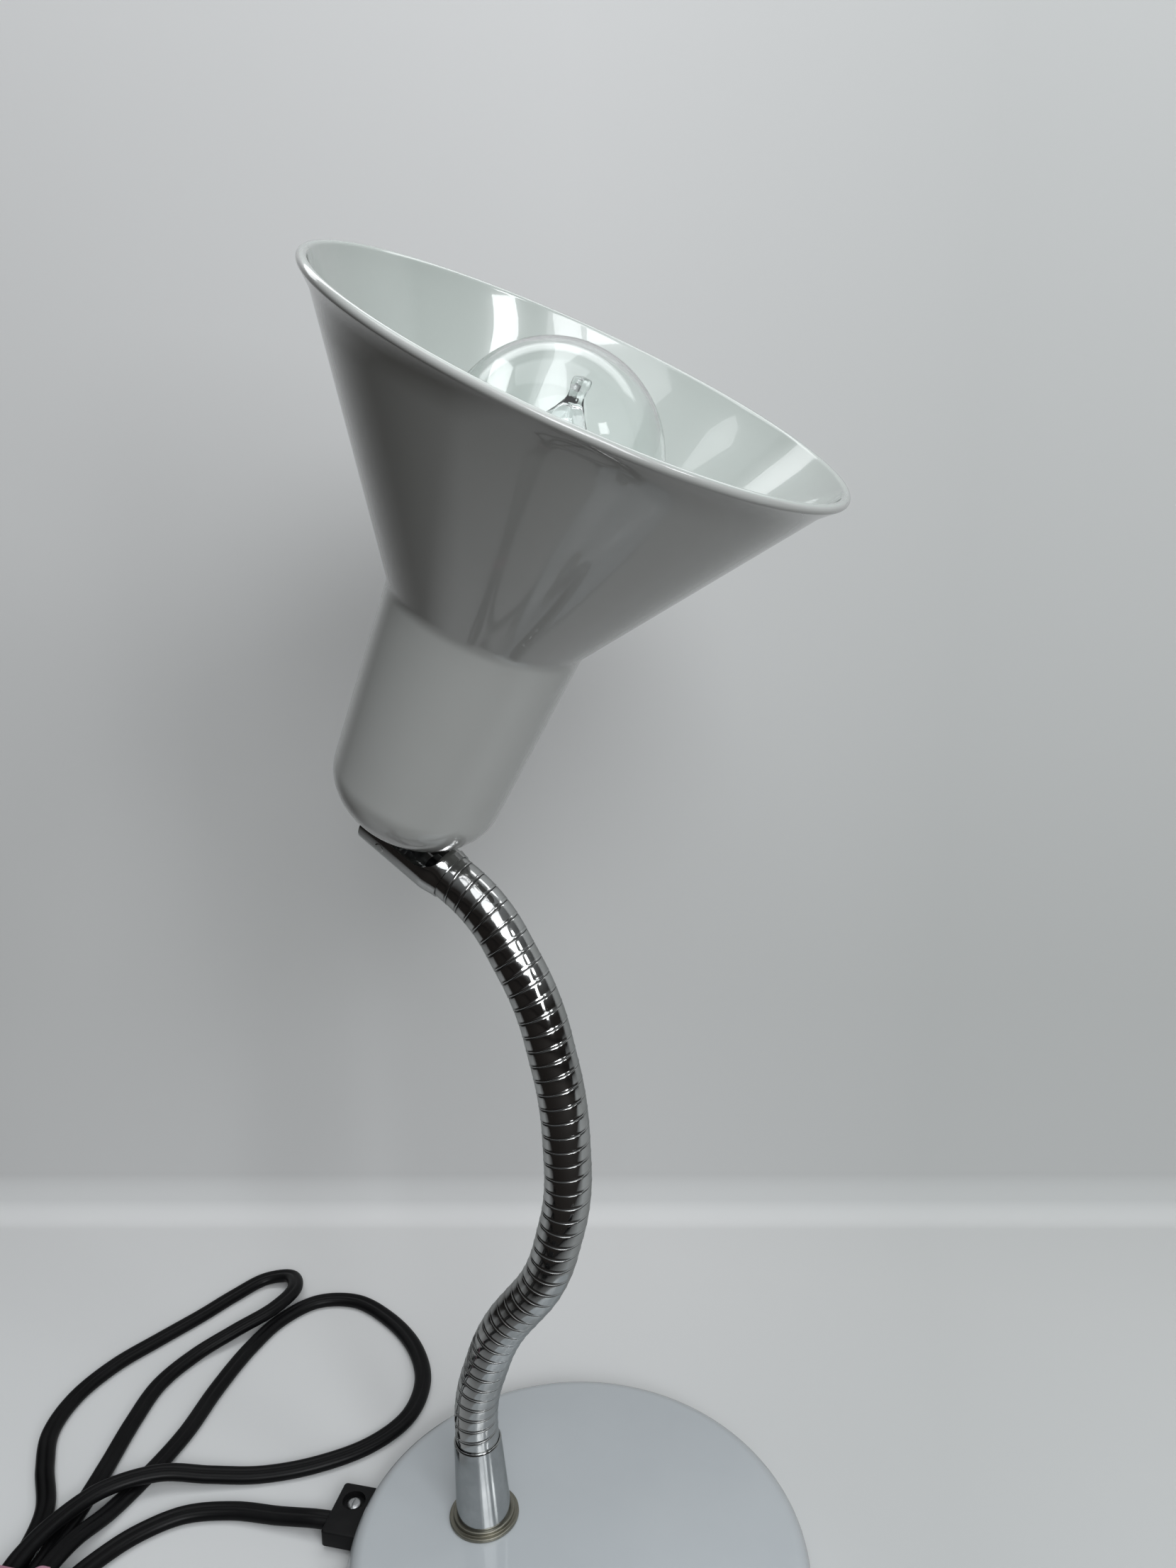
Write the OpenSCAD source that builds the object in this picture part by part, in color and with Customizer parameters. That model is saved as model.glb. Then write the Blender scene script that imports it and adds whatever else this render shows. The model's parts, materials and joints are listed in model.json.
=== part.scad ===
// Gooseneck desk lamp: domed round base, flexible arm, tilting cone shade, screw-in bulb and mains flex.
// Millimetres. Z is up, the desk is Z = 0, the base is centred on Z, and the flex leaves it towards -X.

/* [Base] */
// Radius of the base cover
base_r = 80; // [76:0.5:95]
// Height of the middle of the domed cover
base_h = 18.4; // [17.6:0.1:24]
// Radius of curvature of the dome
dome_r = 600; // [480:10:1200]
// Radius of the shoulder between dome and skirt
shoulder_r = 7; // [4:0.5:8]
// Sheet thickness of the cover
cover_t = 1.2; // [0.8:0.1:1.4]
// Thickness of the felt pad under the base
felt_t = 1; // [0.6:0.1:1.4]
// Thickness of the bottom plate
plate_t = 1; // [0.8:0.1:1.4]
// Thickness of the iron ballast
ballast_t = 7.6; // [5:0.1:8]
// Radius of the iron ballast
ballast_r = 69.5; // [60:0.5:71]
// Radius of the circle that the cover's studs stand on
stud_circle_r = 56; // [48:0.5:60]
// Radius of one stud
stud_r = 3; // [2.5:0.1:4]

/* [Arm foot] */
// Distance of the arm from the middle of the base
foot_r = 34; // [28:0.5:40]
// Outer radius of the threaded nipple
nipple_r = 5; // [4.9:0.05:5.4]
// Radius of the bore that the flex passes through
wire_bore_r = 4; // [3.8:0.05:4.2]
// How far the nipple reaches below the top of the cover
nipple_below = 7.4; // [6.6:0.1:7.8]
// Radius of the washer's lower step
washer_r = 12.2; // [11:0.1:14]
// Thickness of each of the washer's two steps
washer_step = 1.3; // [1:0.1:1.6]
// Height of the ferrule's lip above the cover
ferrule_top = 32; // [28:0.5:38]
// Radius of the ferrule at its foot
ferrule_foot_r = 9.6; // [9:0.1:11]
// Radius of the ferrule at its lip
ferrule_lip_r = 8.6; // [8.2:0.1:9]
// Depth of the socket that holds the arm
socket_depth = 19; // [14:0.5:20]

/* [Flexible arm] */
// Outer radius of the arm
arm_r = 7.4; // [7.2:0.05:7.5]
// Length of one section of the arm, between two bending points
section_len = 32.3; // [28:0.1:40]
// Compass direction of the plane that the arm is bent in, in degrees
bend_plane = -14; // [-60:1:60]
// Clearance between a ball end and its cup
ball_gap = 0.25; // [0.15:0.05:0.4]
// Length of arm left open under each ball, for bending
bend_gap = 3; // [2.8:0.1:3.6]
// Distance from one groove of the arm to the next
groove_pitch = 4.7; // [4:0.1:6]
// Width of a groove
groove_w = 0.6; // [0.4:0.1:1]
// Depth of a groove
groove_depth = 0.3; // [0.15:0.05:0.4]

/* [Head] */
// Outer radius of the fork's half pipe
fork_r = 8.7; // [8.4:0.1:9.5]
// Wall of the fork
fork_wall = 1; // [0.8:0.1:1.1]
// Distance from the end of the arm to the tilt pin
pin_along = 19.8; // [19:0.1:23]
// Length of the fork past the tilt pin
fork_past_pin = 8.9; // [7:0.1:9.2]
// Depth of the tilt pin below the axis of the fork
pin_drop = 3.4; // [3:0.1:3.6]
// Radius of the tilt pin
pin_r = 1.8; // [1.5:0.1:2]
// Distance from the tilt pin to the end of the shade
shade_seat = 4.4; // [4.2:0.1:5]
// Turn of the head about the end of the arm, in degrees
head_roll = 2.8; // [-15:0.1:15]
// Lean of the head towards the fork's tip at rest, in degrees
head_tilt = 4.5; // [3:0.1:6]

/* [Shade] */
// Outer radius of the shade's rim
rim_r = 75; // [68:0.5:90]
// Length of the shade, from rim to closed end
shade_len = 150; // [146:0.5:160]
// Length of the cone
cone_len = 72; // [68:0.5:76]
// Radius of the neck where the cone starts
neck_top_r = 29.6; // [28.5:0.1:32]
// Radius of the neck where the rounded end starts
neck_end_r = 26.4; // [25.5:0.1:28]
// Length of the rounded end
dome_len = 20; // [18:0.5:22]
// Sheet thickness of the shade
shade_t = 0.9; // [0.7:0.05:1.2]
// Radius of the rolled rim
bead_r = 1.3; // [1:0.1:1.6]

/* [Bulb] */
// Radius of the bulb
bulb_r = 30; // [27:0.25:31]
// Length of the bulb
bulb_len = 104; // [98:0.5:108]
// How far the bulb stands out of the shade
bulb_proud = 5.4; // [3:0.2:9]
// Radius of the bulb's screw cap over its thread
cap_r = 13.1; // [13:0.05:13.2]
// Pitch of the screw thread
thread_pitch = 3.6; // [3.2:0.1:4]

/* [Lampholder] */
// Outer radius of the lampholder
holder_r = 19.5; // [18.5:0.25:21]
// Radius of the distance tube behind the lampholder
spacer_r = 7.5; // [6.5:0.25:9]
// Radius of the threaded stud that carries the head
stem_r = 5; // [4.9:0.05:5.2]
// Length of the screwed-in end of the stud
stem_grip = 6; // [5:0.5:7]

/* [Flex] */
// Width of the flat two-core flex
flex_w = 7; // [6.6:0.1:7.2]
// Thickness of the flat two-core flex
flex_t = 4.2; // [3.8:0.1:4.2]

/* [Cord clamp] */
// Width of the clamp block
block_w = 22.4; // [20:0.2:26]
// Length of the clamp block
block_len = 20; // [18:0.2:21]
// Height of each half of the clamp block
block_half_h = 3.1; // [2.9:0.1:3.4]
// Radius of the clamp screw's head
screw_head_r = 2.6; // [2.2:0.1:3]

/* [Switch and plug] */
// Length of the in-line switch
switch_len = 62; // [56:0.5:70]
// Width of the in-line switch
switch_w = 27; // [24:0.5:32]
// Height of the in-line switch, without its rocker
switch_h = 17; // [15:0.5:20]
// Length of the plug's body
plug_len = 36; // [32:0.5:40]
// Width of the plug's body at its pins
plug_w = 33; // [30:0.5:36]
// Thickness of the plug's body
plug_h = 13.6; // [12:0.2:15]
// Radius of a plug pin
plug_pin_r = 2; // [1.9:0.05:2.2]
// Distance between the plug pins
plug_pin_gap = 19; // [18:0.1:20]

/* [Hidden] */

$fn = 64;
tiny = 0.01;
// Running clearance, clearance between fixed pieces, and clearance round a screw or the flex
run_gap = 0.05;
fit_gap = 0.1;
pass_gap = 0.3;

up = [0, 0, 1];
plate_z = felt_t;
ballast_z = felt_t + plate_t;
skirt_bottom = felt_t + 0.4;
plate_r = base_r - cover_t - 0.4;
felt_r = plate_r - 2;

// Heights of the cover's outer face, and its lean, at a distance from the middle
function dome_z(r) = base_h - (dome_r - sqrt(dome_r * dome_r - r * r));
foot_lean = asin(foot_r / dome_r);
foot_point = [-foot_r, 0, dome_z(foot_r)];
shoulder_x = base_r - shoulder_r;
shoulder_z = dome_z(shoulder_x) - shoulder_r;

// Vector helpers
function unit(v) = v / norm(v);
function arc_xy(cx, cy, r, from, to, steps) =
    [for (i = [0:steps]) let (a = from + (to - from) * i / steps) [cx + r * cos(a), cy + r * sin(a)]];

// The arm: its direction at each bending point is an angle in the bend plane, 90 being straight up
arm_angles = [72, 54, 76, 93, 105, 122, 148];
sections = len(arm_angles);
plane_x = [cos(bend_plane), sin(bend_plane), 0];
plane_y = [-sin(bend_plane), cos(bend_plane), 0];
function in_plane(a) = cos(a) * plane_x + sin(a) * up;
foot_dir = [-sin(foot_lean), 0, cos(foot_lean)];
arm_dirs = concat([foot_dir], [for (a = arm_angles) in_plane(a)]);
straight_start = 3.5;
straight_end = 6.5;
arc_len = section_len - straight_start - straight_end;
function bend_of(i) = acos(arm_dirs[i] * arm_dirs[i + 1]);
function bend_side(i) = unit(arm_dirs[i + 1] - (arm_dirs[i] * arm_dirs[i + 1]) * arm_dirs[i]);
function bend_r(i) = arc_len / (bend_of(i) * PI / 180);
function section_reach(i) =
    straight_start * arm_dirs[i] + straight_end * arm_dirs[i + 1]
    + bend_r(i) * (sin(bend_of(i)) * arm_dirs[i] + (1 - cos(bend_of(i))) * bend_side(i));
arm_start = foot_point + ferrule_top * foot_dir;
function arm_point(i) = i == 0 ? arm_start : arm_point(i - 1) + section_reach(i - 1);
ball_r = arm_r - 0.4;
cup_r = ball_r + ball_gap;
flare_depth = bend_gap + 0.5;
flare_r = wire_bore_r + 1.5;
flex_stop = 0.65;
// Bent stretches are a hair thinner than the straight ends that they run a little way into
join = 0.15;
thin = 0.08;

// The head: the fork follows the end of the arm, and the head stands on the tilt pin
arm_end = arm_point(sections);
fork_z = arm_dirs[sections];
fork_x0 = cross(plane_y, fork_z);
fork_x = cos(head_roll) * fork_x0 - sin(head_roll) * plane_y;
fork_y = cross(fork_z, fork_x);
pin_point = arm_end + pin_along * fork_z - pin_drop * fork_x;
head_z = cos(head_tilt) * fork_x + sin(head_tilt) * fork_z;
head_x = cross(fork_y, head_z);
fork_in_r = fork_r - fork_wall;
fork_seat = 2.5;
fork_web = 1.6;
fork_cut = 0.7;
fork_corner = 9;
fork_rise = -0.2;
tongue_half = 2.2;
eye_r = 3.7;
boss_half = 4.2;
flange_t = 1;
flange_r = 6.2;
stem_bore_r = 3.6;

// Heights in the head, measured from the tilt pin along the shade
rim_z = shade_seat + shade_len;
junction_z = rim_z - cone_len;
dome_top_z = shade_seat + dome_len;
bulb_tip_z = rim_z + bulb_proud;
bulb_mid_z = bulb_tip_z - bulb_r;
contact_z = bulb_tip_z - bulb_len;
cap_len = 26;
cap_top_z = contact_z + cap_len;
holder_top_z = cap_top_z + 1;
holder_len = 55;
holder_z = holder_top_z - holder_len;
skirt_split_z = holder_z + 20;
insert_z = contact_z - 8;
insert_t = 5;
stem_top_z = holder_z + stem_grip;
washer_in_r = 11;
washer_in_t = 1.5;
sleeve_r = cap_r + 0.5;
sleeve_t = 0.5;
holder_wall = 2.2;
glass_t = 0.8;

// The flex outside the base. Its route is a free choice: points lie about 3 cm apart on the desk,
// a loop that crosses another stretch passes over it, and the hank holds the folded rest.
block_out = 12;
flex_exit = [-base_r - block_out, -2.5, 5.1];
lead_route = [
    flex_exit, flex_exit + [-6, -0.3, -0.1], flex_exit + [-20, -0.5, -1.7], [-130, -3.5, 2.3],
    [-147, -9, 2.2], [-159, -20, 2.2], [-166, -32, 2.5], [-170, -44, 3.1], [-171, -62, 3.1]
];
large_loop_route = [
    [-188, -62, 7.6], [-190, -42, 7.6], [-187, -25, 7.4], [-179, -9, 7.2], [-163, 3, 6.4],
    [-146, 8.5, 3.8], [-128, 14, 2.2], [-109, 23, 2.2], [-92, 37, 2.2], [-83, 54, 2.2],
    [-84, 74, 2.2], [-95, 93, 2.2], [-113, 108, 2.2], [-132, 116, 2.2], [-149, 112, 2.2],
    [-160, 97, 2.2], [-165, 77, 2.2], [-167, 52, 2.2], [-167, 26, 2.2], [-170, 5, 2.2],
    [-174, -14, 2.7], [-177, -30, 6.2], [-178, -44, 7.6], [-178, -62, 7.6]
];
small_loop_route = [
    [-191, -62, 3.1], [-192, -40, 3.1], [-198, -18, 2.3], [-211, 0, 2.2], [-220, 16, 2.2],
    [-222, 35, 2.2], [-217, 55, 2.2], [-207, 74, 2.2], [-197, 92, 2.2], [-189, 108, 2.3],
    [-180, 121, 3], [-168, 123, 5], [-161, 113, 6.8], [-164, 98, 6.8], [-175, 83, 5],
    [-186, 68, 2.6], [-192, 49, 2.2], [-191, 28, 2.2], [-188, 6, 2.2], [-186, -12, 2.2],
    [-185, -28, 2.5], [-184, -42, 3.1], [-184, -62, 3.1]
];
tail_route = [
    [-165, -147, 10.9], [-157, -152.5, 9.9], [-149, -156.5, 6], [-138, -158.5, 2.8],
    [-126, -156, 2.4], [-115, -150, 3.4], [-106, -146, 6.6], [-103, -146, 7], [-100, -146, 7]
];
plug_lead_route = [
    [-38, -146, 7], [-35, -146, 7], [-22, -146, 3.8], [-7, -146, 2.4], [12, -146, 2.4],
    [30, -146, 3.4], [43, -146, 6.8], [46, -146, 6.8]
];
hank_mid_x = -181;
hank_from_y = -58;
hank_to_y = -164;
hank_r = 26;
hank_h = 13.4;
switch_x = -100;
switch_y = -146;
plug_x = 46;
plug_y = -146;
relief_len = 24;
flex_mid_z = flex_exit[2];
block_z = flex_mid_z - block_half_h;
block_x = flex_exit[0];
block_y = 0.8;
clamp_screw = [block_x + 6.5, 4.7];
counterbore_depth = 2.2;
counterbore_r = screw_head_r + 1.6;

// ---------- shapes that repeat ----------

module ring(r_out, r_in, h) {
    difference() {
        cylinder(r = r_out, h = h);
        translate([0, 0, -1]) cylinder(r = r_in, h = h + 2);
    }
}

// Places its children with their Z along one direction and their X along another
module at_frame(p, x, z) {
    y = cross(z, x);
    multmatrix([
        [x[0], y[0], z[0], p[0]],
        [x[1], y[1], z[1], p[1]],
        [x[2], y[2], z[2], p[2]],
        [0, 0, 0, 1]
    ]) children();
}

module at_foot() {
    translate(foot_point) rotate([0, -foot_lean, 0]) children();
}

module at_section(i) {
    at_frame(arm_point(i), bend_side(i), arm_dirs[i]) children();
}

module at_fork() {
    at_frame(arm_end, fork_x, fork_z) children();
}

module at_head() {
    at_frame(pin_point, head_x, head_z) children();
}

// A bent stretch of section i, from one distance along its arc to another, of a flat outline
module arc_stretch(i, from, to) {
    degree = 180 / (PI * bend_r(i));
    multmatrix([[-1, 0, 0, bend_r(i)], [0, 0, 1, 0], [0, 1, 0, straight_start], [0, 0, 0, 1]])
        rotate([0, 0, from * degree])
            rotate_extrude(angle = (to - from) * degree, $fn = 180)
                translate([bend_r(i), 0]) children();
}

module at_arc_end(i) {
    b = bend_of(i);
    translate([bend_r(i) * (1 - cos(b)), 0, straight_start + bend_r(i) * sin(b)])
        rotate([0, b, 0]) children();
}

module flat_outline(grow = 0) {
    half = (flex_w - flex_t) / 2;
    for (s = [-1, 1]) translate([0, s * half]) circle(r = flex_t / 2 + grow, $fn = 32);
    square([flex_t + 2 * grow, 2 * half], center = true);
}

module annulus(r_out, r_in) {
    difference() {
        circle(r = r_out);
        circle(r = r_in);
    }
}

// Points along a smooth curve through a route, two to a span
function spline_at(a, b, c, d, t) =
    0.5 * ((2 * b) + (c - a) * t + (2 * a - 5 * b + 4 * c - d) * t * t
    + (3 * b - a - 3 * c + d) * t * t * t);
function smooth(route, steps) = let (n = len(route)) concat([
    for (i = [0:n - 2])
        let (a = route[max(i - 1, 0)], b = route[i], c = route[i + 1], d = route[min(i + 2, n - 1)])
        for (k = [0:steps - 1]) spline_at(a, b, c, d, k / steps)
], [route[n - 1]]);

// A flat flex swept along a route: eight corners to a ring, its width level with the desk
ring_shape = [for (k = [0:7]) let (a = 22.5 + 45 * k)
    [cos(a) / cos(22.5) * flex_w / 2, sin(a) / cos(22.5) * flex_t / 2]];
module flex_tube(route, steps) {
    p = smooth(route, steps);
    n = len(p);
    rings = [for (i = [0:n - 1])
        let (
            t = unit(p[min(i + 1, n - 1)] - p[max(i - 1, 0)]),
            side = unit(cross(t, up)),
            top = cross(side, t)
        )
        for (q = ring_shape) p[i] + q[0] * side + q[1] * top];
    walls = [for (i = [0:n - 2]) for (k = [0:7])
        [i * 8 + k, i * 8 + (k + 1) % 8, (i + 1) * 8 + (k + 1) % 8, (i + 1) * 8 + k]];
    first = [[for (k = [0:7]) 7 - k]];
    last = [[for (k = [0:7]) (n - 1) * 8 + k]];
    polyhedron(points = rings, faces = concat(first, walls, last));
}

// ---------- base ----------

module stud_places() {
    for (a = [0, 120, 240])
        rotate([0, 0, a]) translate([stud_circle_r, 0, 0]) children();
}

module felt_pad() {
    color("dimgray") difference() {
        cylinder(r = felt_r, h = felt_t);
        stud_places() translate([0, 0, -1]) cylinder(r = stud_r + 1.5, h = felt_t + 2);
    }
}

module bottom_plate() {
    color("gainsboro") translate([0, 0, plate_z]) difference() {
        cylinder(r = plate_r, h = plate_t);
        stud_places() translate([0, 0, -1]) cylinder(r = stud_r - 1, h = plate_t + 2);
    }
}

screw_head_t = 0.8;
screw_grip = 5;
module plate_screws() {
    color("silver") stud_places() {
        translate([0, 0, plate_z - screw_head_t]) cylinder(r = stud_r + 1, h = screw_head_t);
        translate([0, 0, plate_z - screw_head_t])
            cylinder(r = stud_r - 1.4, h = screw_head_t + plate_t + screw_grip);
    }
}

module cover_studs() {
    stud_top = dome_z(stud_circle_r + stud_r) - cover_t - 0.1;
    color("silver") stud_places() translate([0, 0, ballast_z])
        ring(stud_r, stud_r - 1.4 + fit_gap, stud_top - ballast_z);
}

module ballast_disc() {
    slot_half = 13;
    color("darkslategray") translate([0, 0, ballast_z]) difference() {
        cylinder(r = ballast_r, h = ballast_t);
        stud_places() translate([0, 0, -1]) cylinder(r = stud_r + pass_gap, h = ballast_t + 2);
        translate([-foot_r, 0, -1]) cylinder(r = slot_half, h = ballast_t + 2);
        translate([-base_r - foot_r, -slot_half, -1]) cube([base_r, 2 * slot_half, ballast_t + 2]);
    }
}

// Outline of the cover's outer face, drawn in by its sheet thickness for the inner face
module cover_outline(inset) {
    r_big = dome_r - inset;
    r_small = shoulder_r - inset;
    top_x = shoulder_x;
    intersection() {
        translate([0, base_h - dome_r]) circle(r = r_big, $fn = 720);
        union() {
            square([top_x, base_h + 1]);
            square([base_r - inset, shoulder_z]);
            translate([top_x, shoulder_z]) circle(r = r_small);
        }
        square([base_r, base_h + 1]);
    }
}

module base_cover() {
    color("white") difference() {
        rotate_extrude($fn = 180) difference() {
            cover_outline(0);
            cover_outline(cover_t);
            square([base_r + 1, skirt_bottom]);
        }
        at_foot() translate([0, 0, -10]) cylinder(r = nipple_r + fit_gap, h = 20);
        translate([-base_r - 1, block_y - block_w / 2 - pass_gap, 0])
            cube([14, block_w + 2 * pass_gap, block_z + 2 * block_half_h + pass_gap]);
    }
}

// ---------- flex clamp ----------

// The run of flex under the cover points from the arm's foot to the clamp
run_bend_r = 7;
run_up = 90 + foot_lean;
run_top = (flex_mid_z + run_bend_r * (1 - cos(run_up)) - foot_point[2]) / cos(foot_lean);
run_foot = foot_point + run_top * foot_dir;
run_turn = atan2(run_foot[1] - flex_exit[1], run_foot[0] - flex_exit[0]);
run_len = norm([run_foot[0] - flex_exit[0], run_foot[1] - flex_exit[1]])
    - run_bend_r * sin(run_up);

// Starts at the clamp's outer face, with Z along the flex and its flat side level
module at_flex_run() {
    translate(flex_exit) rotate([0, 0, run_turn]) rotate([0, 90, 0]) children();
}

module clamp_half(z, screw_r) {
    difference() {
        translate([block_x, block_y - block_w / 2, z]) cube([block_len, block_w, block_half_h]);
        at_flex_run() translate([0, 0, -2]) linear_extrude(height = block_len + 4)
            flat_outline(run_gap);
        translate([clamp_screw[0], clamp_screw[1], z - 1]) cylinder(r = screw_r, h = block_half_h + 2);
    }
}

module cord_block_lower() {
    color("#181818") clamp_half(block_z, screw_head_r - 1.1);
}

module cord_block_upper() {
    color("#181818") difference() {
        clamp_half(flex_mid_z, screw_head_r - 1);
        translate([clamp_screw[0], clamp_screw[1], flex_mid_z + block_half_h - counterbore_depth])
            cylinder(r = counterbore_r, h = counterbore_depth + 1);
    }
}

module cord_block_screw() {
    head_z = flex_mid_z + block_half_h - counterbore_depth;
    color("silver") translate([clamp_screw[0], clamp_screw[1], 0]) difference() {
        union() {
            translate([0, 0, head_z]) cylinder(r = screw_head_r, h = 1.5);
            translate([0, 0, block_z + 0.2]) cylinder(r = screw_head_r - 1.1, h = head_z - block_z);
        }
        translate([-0.3, -screw_head_r - 1, head_z + 0.8]) cube([0.6, 2 * screw_head_r + 2, 2]);
    }
}

module base_flex() {
    color("#181818") {
        at_flex_run() linear_extrude(height = run_len + join) flat_outline();
        translate(flex_exit) rotate([0, 0, run_turn]) translate([run_len, 0, run_bend_r])
            rotate([90, 0, 0]) rotate([0, 0, -90]) rotate_extrude(angle = run_up, $fn = 96)
                translate([run_bend_r, 0]) flat_outline(-thin);
        at_section(0) {
            translate([0, 0, run_top - ferrule_top - join])
                linear_extrude(height = ferrule_top - run_top + straight_start + 2 * join)
                    flat_outline();
            arc_stretch(0, 0, arc_len) flat_outline(-thin);
            at_arc_end(0) translate([0, 0, -join])
                linear_extrude(height = straight_end - flex_stop + join) flat_outline();
        }
    }
}

// ---------- arm foot ----------

module base_nipple() {
    color("darkgoldenrod") at_foot() translate([0, 0, -nipple_below])
        ring(nipple_r, wire_bore_r, nipple_below + 2 * washer_step + 8);
}

lock_washer_t = 0.8;
module lock_washer() {
    color("silver") at_foot() translate([0, 0, -cover_t - lock_washer_t - 0.12])
        ring(nipple_r + 3.4, nipple_r + fit_gap, lock_washer_t);
}

module nipple_nut() {
    nut_h = nipple_below - cover_t - lock_washer_t - 1;
    color("silver") at_foot() translate([0, 0, -cover_t - lock_washer_t - 0.12 - nut_h])
        difference() {
            cylinder(r = 8.1, h = nut_h, $fn = 6);
            translate([0, 0, -1]) cylinder(r = nipple_r + run_gap, h = nut_h + 2);
        }
}

module neck_washer() {
    color("darkkhaki") at_foot() {
        ring(washer_r, nipple_r + fit_gap, washer_step);
        translate([0, 0, washer_step]) ring(washer_r - 1.5, nipple_r + fit_gap, washer_step);
    }
}

module neck_ferrule() {
    low = 2 * washer_step;
    color("silver") at_foot() difference() {
        translate([0, 0, low])
            cylinder(r1 = ferrule_foot_r, r2 = ferrule_lip_r, h = ferrule_top - low);
        cylinder(r = nipple_r + run_gap, h = ferrule_top);
        translate([0, 0, ferrule_top - socket_depth])
            cylinder(r = arm_r + fit_gap, h = socket_depth + 1);
        translate([0, 0, ferrule_top - 1.2])
            cylinder(r1 = arm_r + fit_gap, r2 = ferrule_lip_r - 0.35, h = 1.2 + tiny);
    }
}

// ---------- arm ----------

// The ball at the lower end of a section, opened out below for the flex to bend in
module ball_end() {
    difference() {
        intersection() {
            sphere(r = ball_r, $fn = 96);
            translate([0, 0, -flare_depth]) cylinder(r = arm_r, h = flare_depth + 1);
        }
        translate([0, 0, -flare_depth - tiny])
            cylinder(r1 = flare_r, r2 = wire_bore_r, h = flare_depth + tiny);
        translate([0, 0, -tiny]) cylinder(r = wire_bore_r + thin, h = 3);
    }
}

module arm_section(i) {
    tail = i == 0 ? socket_depth : 0;
    last = i == sections - 1;
    top_stop = last ? straight_end - 0.1 : straight_end - bend_gap;
    grooves = floor((arc_len + 0.01) / groove_pitch);
    first_groove = (arc_len - (grooves - 1) * groove_pitch) / 2;
    color("silver") at_section(i) {
        difference() {
            union() {
                translate([0, 0, -tail]) ring(arm_r, wire_bore_r, straight_start + tail + join);
                difference() {
                    arc_stretch(i, 0, arc_len) annulus(arm_r - thin, wire_bore_r + thin);
                    for (k = [0:grooves - 1])
                        arc_stretch(i, first_groove + k * groove_pitch - groove_w / 2,
                            first_groove + k * groove_pitch + groove_w / 2)
                            annulus(arm_r + 1, arm_r - groove_depth);
                }
                at_arc_end(i) translate([0, 0, -join]) ring(arm_r, wire_bore_r, top_stop + join);
            }
            if (!last) at_arc_end(i) translate([0, 0, straight_end]) sphere(r = cup_r, $fn = 96);
        }
        if (i > 0) ball_end();
    }
}

module arm_flex(i) {
    last = i == sections - 1;
    top_len = last ? straight_end + fork_web + 4 : straight_end - flex_stop;
    color("#181818") at_section(i) {
        translate([0, 0, flex_stop]) linear_extrude(height = straight_start - flex_stop + join)
            flat_outline();
        arc_stretch(i, 0, arc_len) flat_outline(-thin);
        at_arc_end(i) translate([0, 0, -join]) linear_extrude(height = top_len + join)
            flat_outline();
    }
}

module neck_section_1() { arm_section(0); }
module neck_section_2() { arm_section(1); }
module neck_section_3() { arm_section(2); }
module neck_section_4() { arm_section(3); }
module neck_section_5() { arm_section(4); }
module neck_section_6() { arm_section(5); }
module neck_section_7() { arm_section(6); }
module neck_flex_2() { arm_flex(1); }
module neck_flex_3() { arm_flex(2); }
module neck_flex_4() { arm_flex(3); }
module neck_flex_5() { arm_flex(4); }
module neck_flex_6() { arm_flex(5); }
module neck_flex_7() { arm_flex(6); }

// ---------- head ----------

module swivel_fork() {
    length = pin_along + fork_past_pin;
    color("silver") at_fork() difference() {
        translate([0, 0, -fork_seat]) cylinder(r = fork_r, h = fork_seat + length);
        translate([0, 0, -fork_seat - 1]) cylinder(r = arm_r + fit_gap, h = 1 + fork_seat);
        translate([0, 0, -1]) cylinder(r = wire_bore_r + pass_gap, h = 2 + fork_web);
        translate([0, 0, fork_web]) cylinder(r = fork_in_r, h = length);
        rotate([90, 0, 0]) translate([0, 0, -fork_r - 1]) linear_extrude(height = 2 * fork_r + 2)
            union() {
                translate([fork_cut + fork_corner, fork_rise]) square([2 * fork_r, length]);
                translate([fork_cut, fork_rise + fork_corner]) square([2 * fork_r, length]);
                translate([fork_cut + fork_corner, fork_rise + fork_corner])
                    circle(r = fork_corner);
            }
        translate([-pin_drop, 0, pin_along]) rotate([90, 0, 0])
            cylinder(r = pin_r + run_gap, h = 4 * fork_r, center = true);
    }
}

// Half the length of the pin between the outer faces of the fork's walls
pin_half = sqrt(fork_r * fork_r - pin_drop * pin_drop);
module swivel_pin() {
    color("gray") at_fork() translate([-pin_drop, 0, pin_along]) rotate([90, 0, 0])
        cylinder(r = pin_r, h = 2 * pin_half, center = true);
}

module tilt_stud() {
    color("silver") at_head() difference() {
        union() {
            rotate([90, 0, 0]) cylinder(r = eye_r, h = 2 * tongue_half, center = true);
            rotate([90, 0, 0]) cylinder(r = pin_r + 0.8, h = 2 * boss_half, center = true);
            translate([-eye_r, -tongue_half, 0])
                cube([2 * eye_r, 2 * tongue_half, shade_seat - flange_t]);
            translate([0, 0, shade_seat - flange_t]) cylinder(r = flange_r, h = flange_t);
            translate([0, 0, shade_seat]) cylinder(r = stem_r, h = stem_top_z - shade_seat);
        }
        rotate([90, 0, 0]) cylinder(r = pin_r + run_gap, h = 20, center = true);
        translate([0, 0, shade_seat - flange_t + 0.4]) cylinder(r = stem_bore_r, h = stem_top_z);
    }
}

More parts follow.
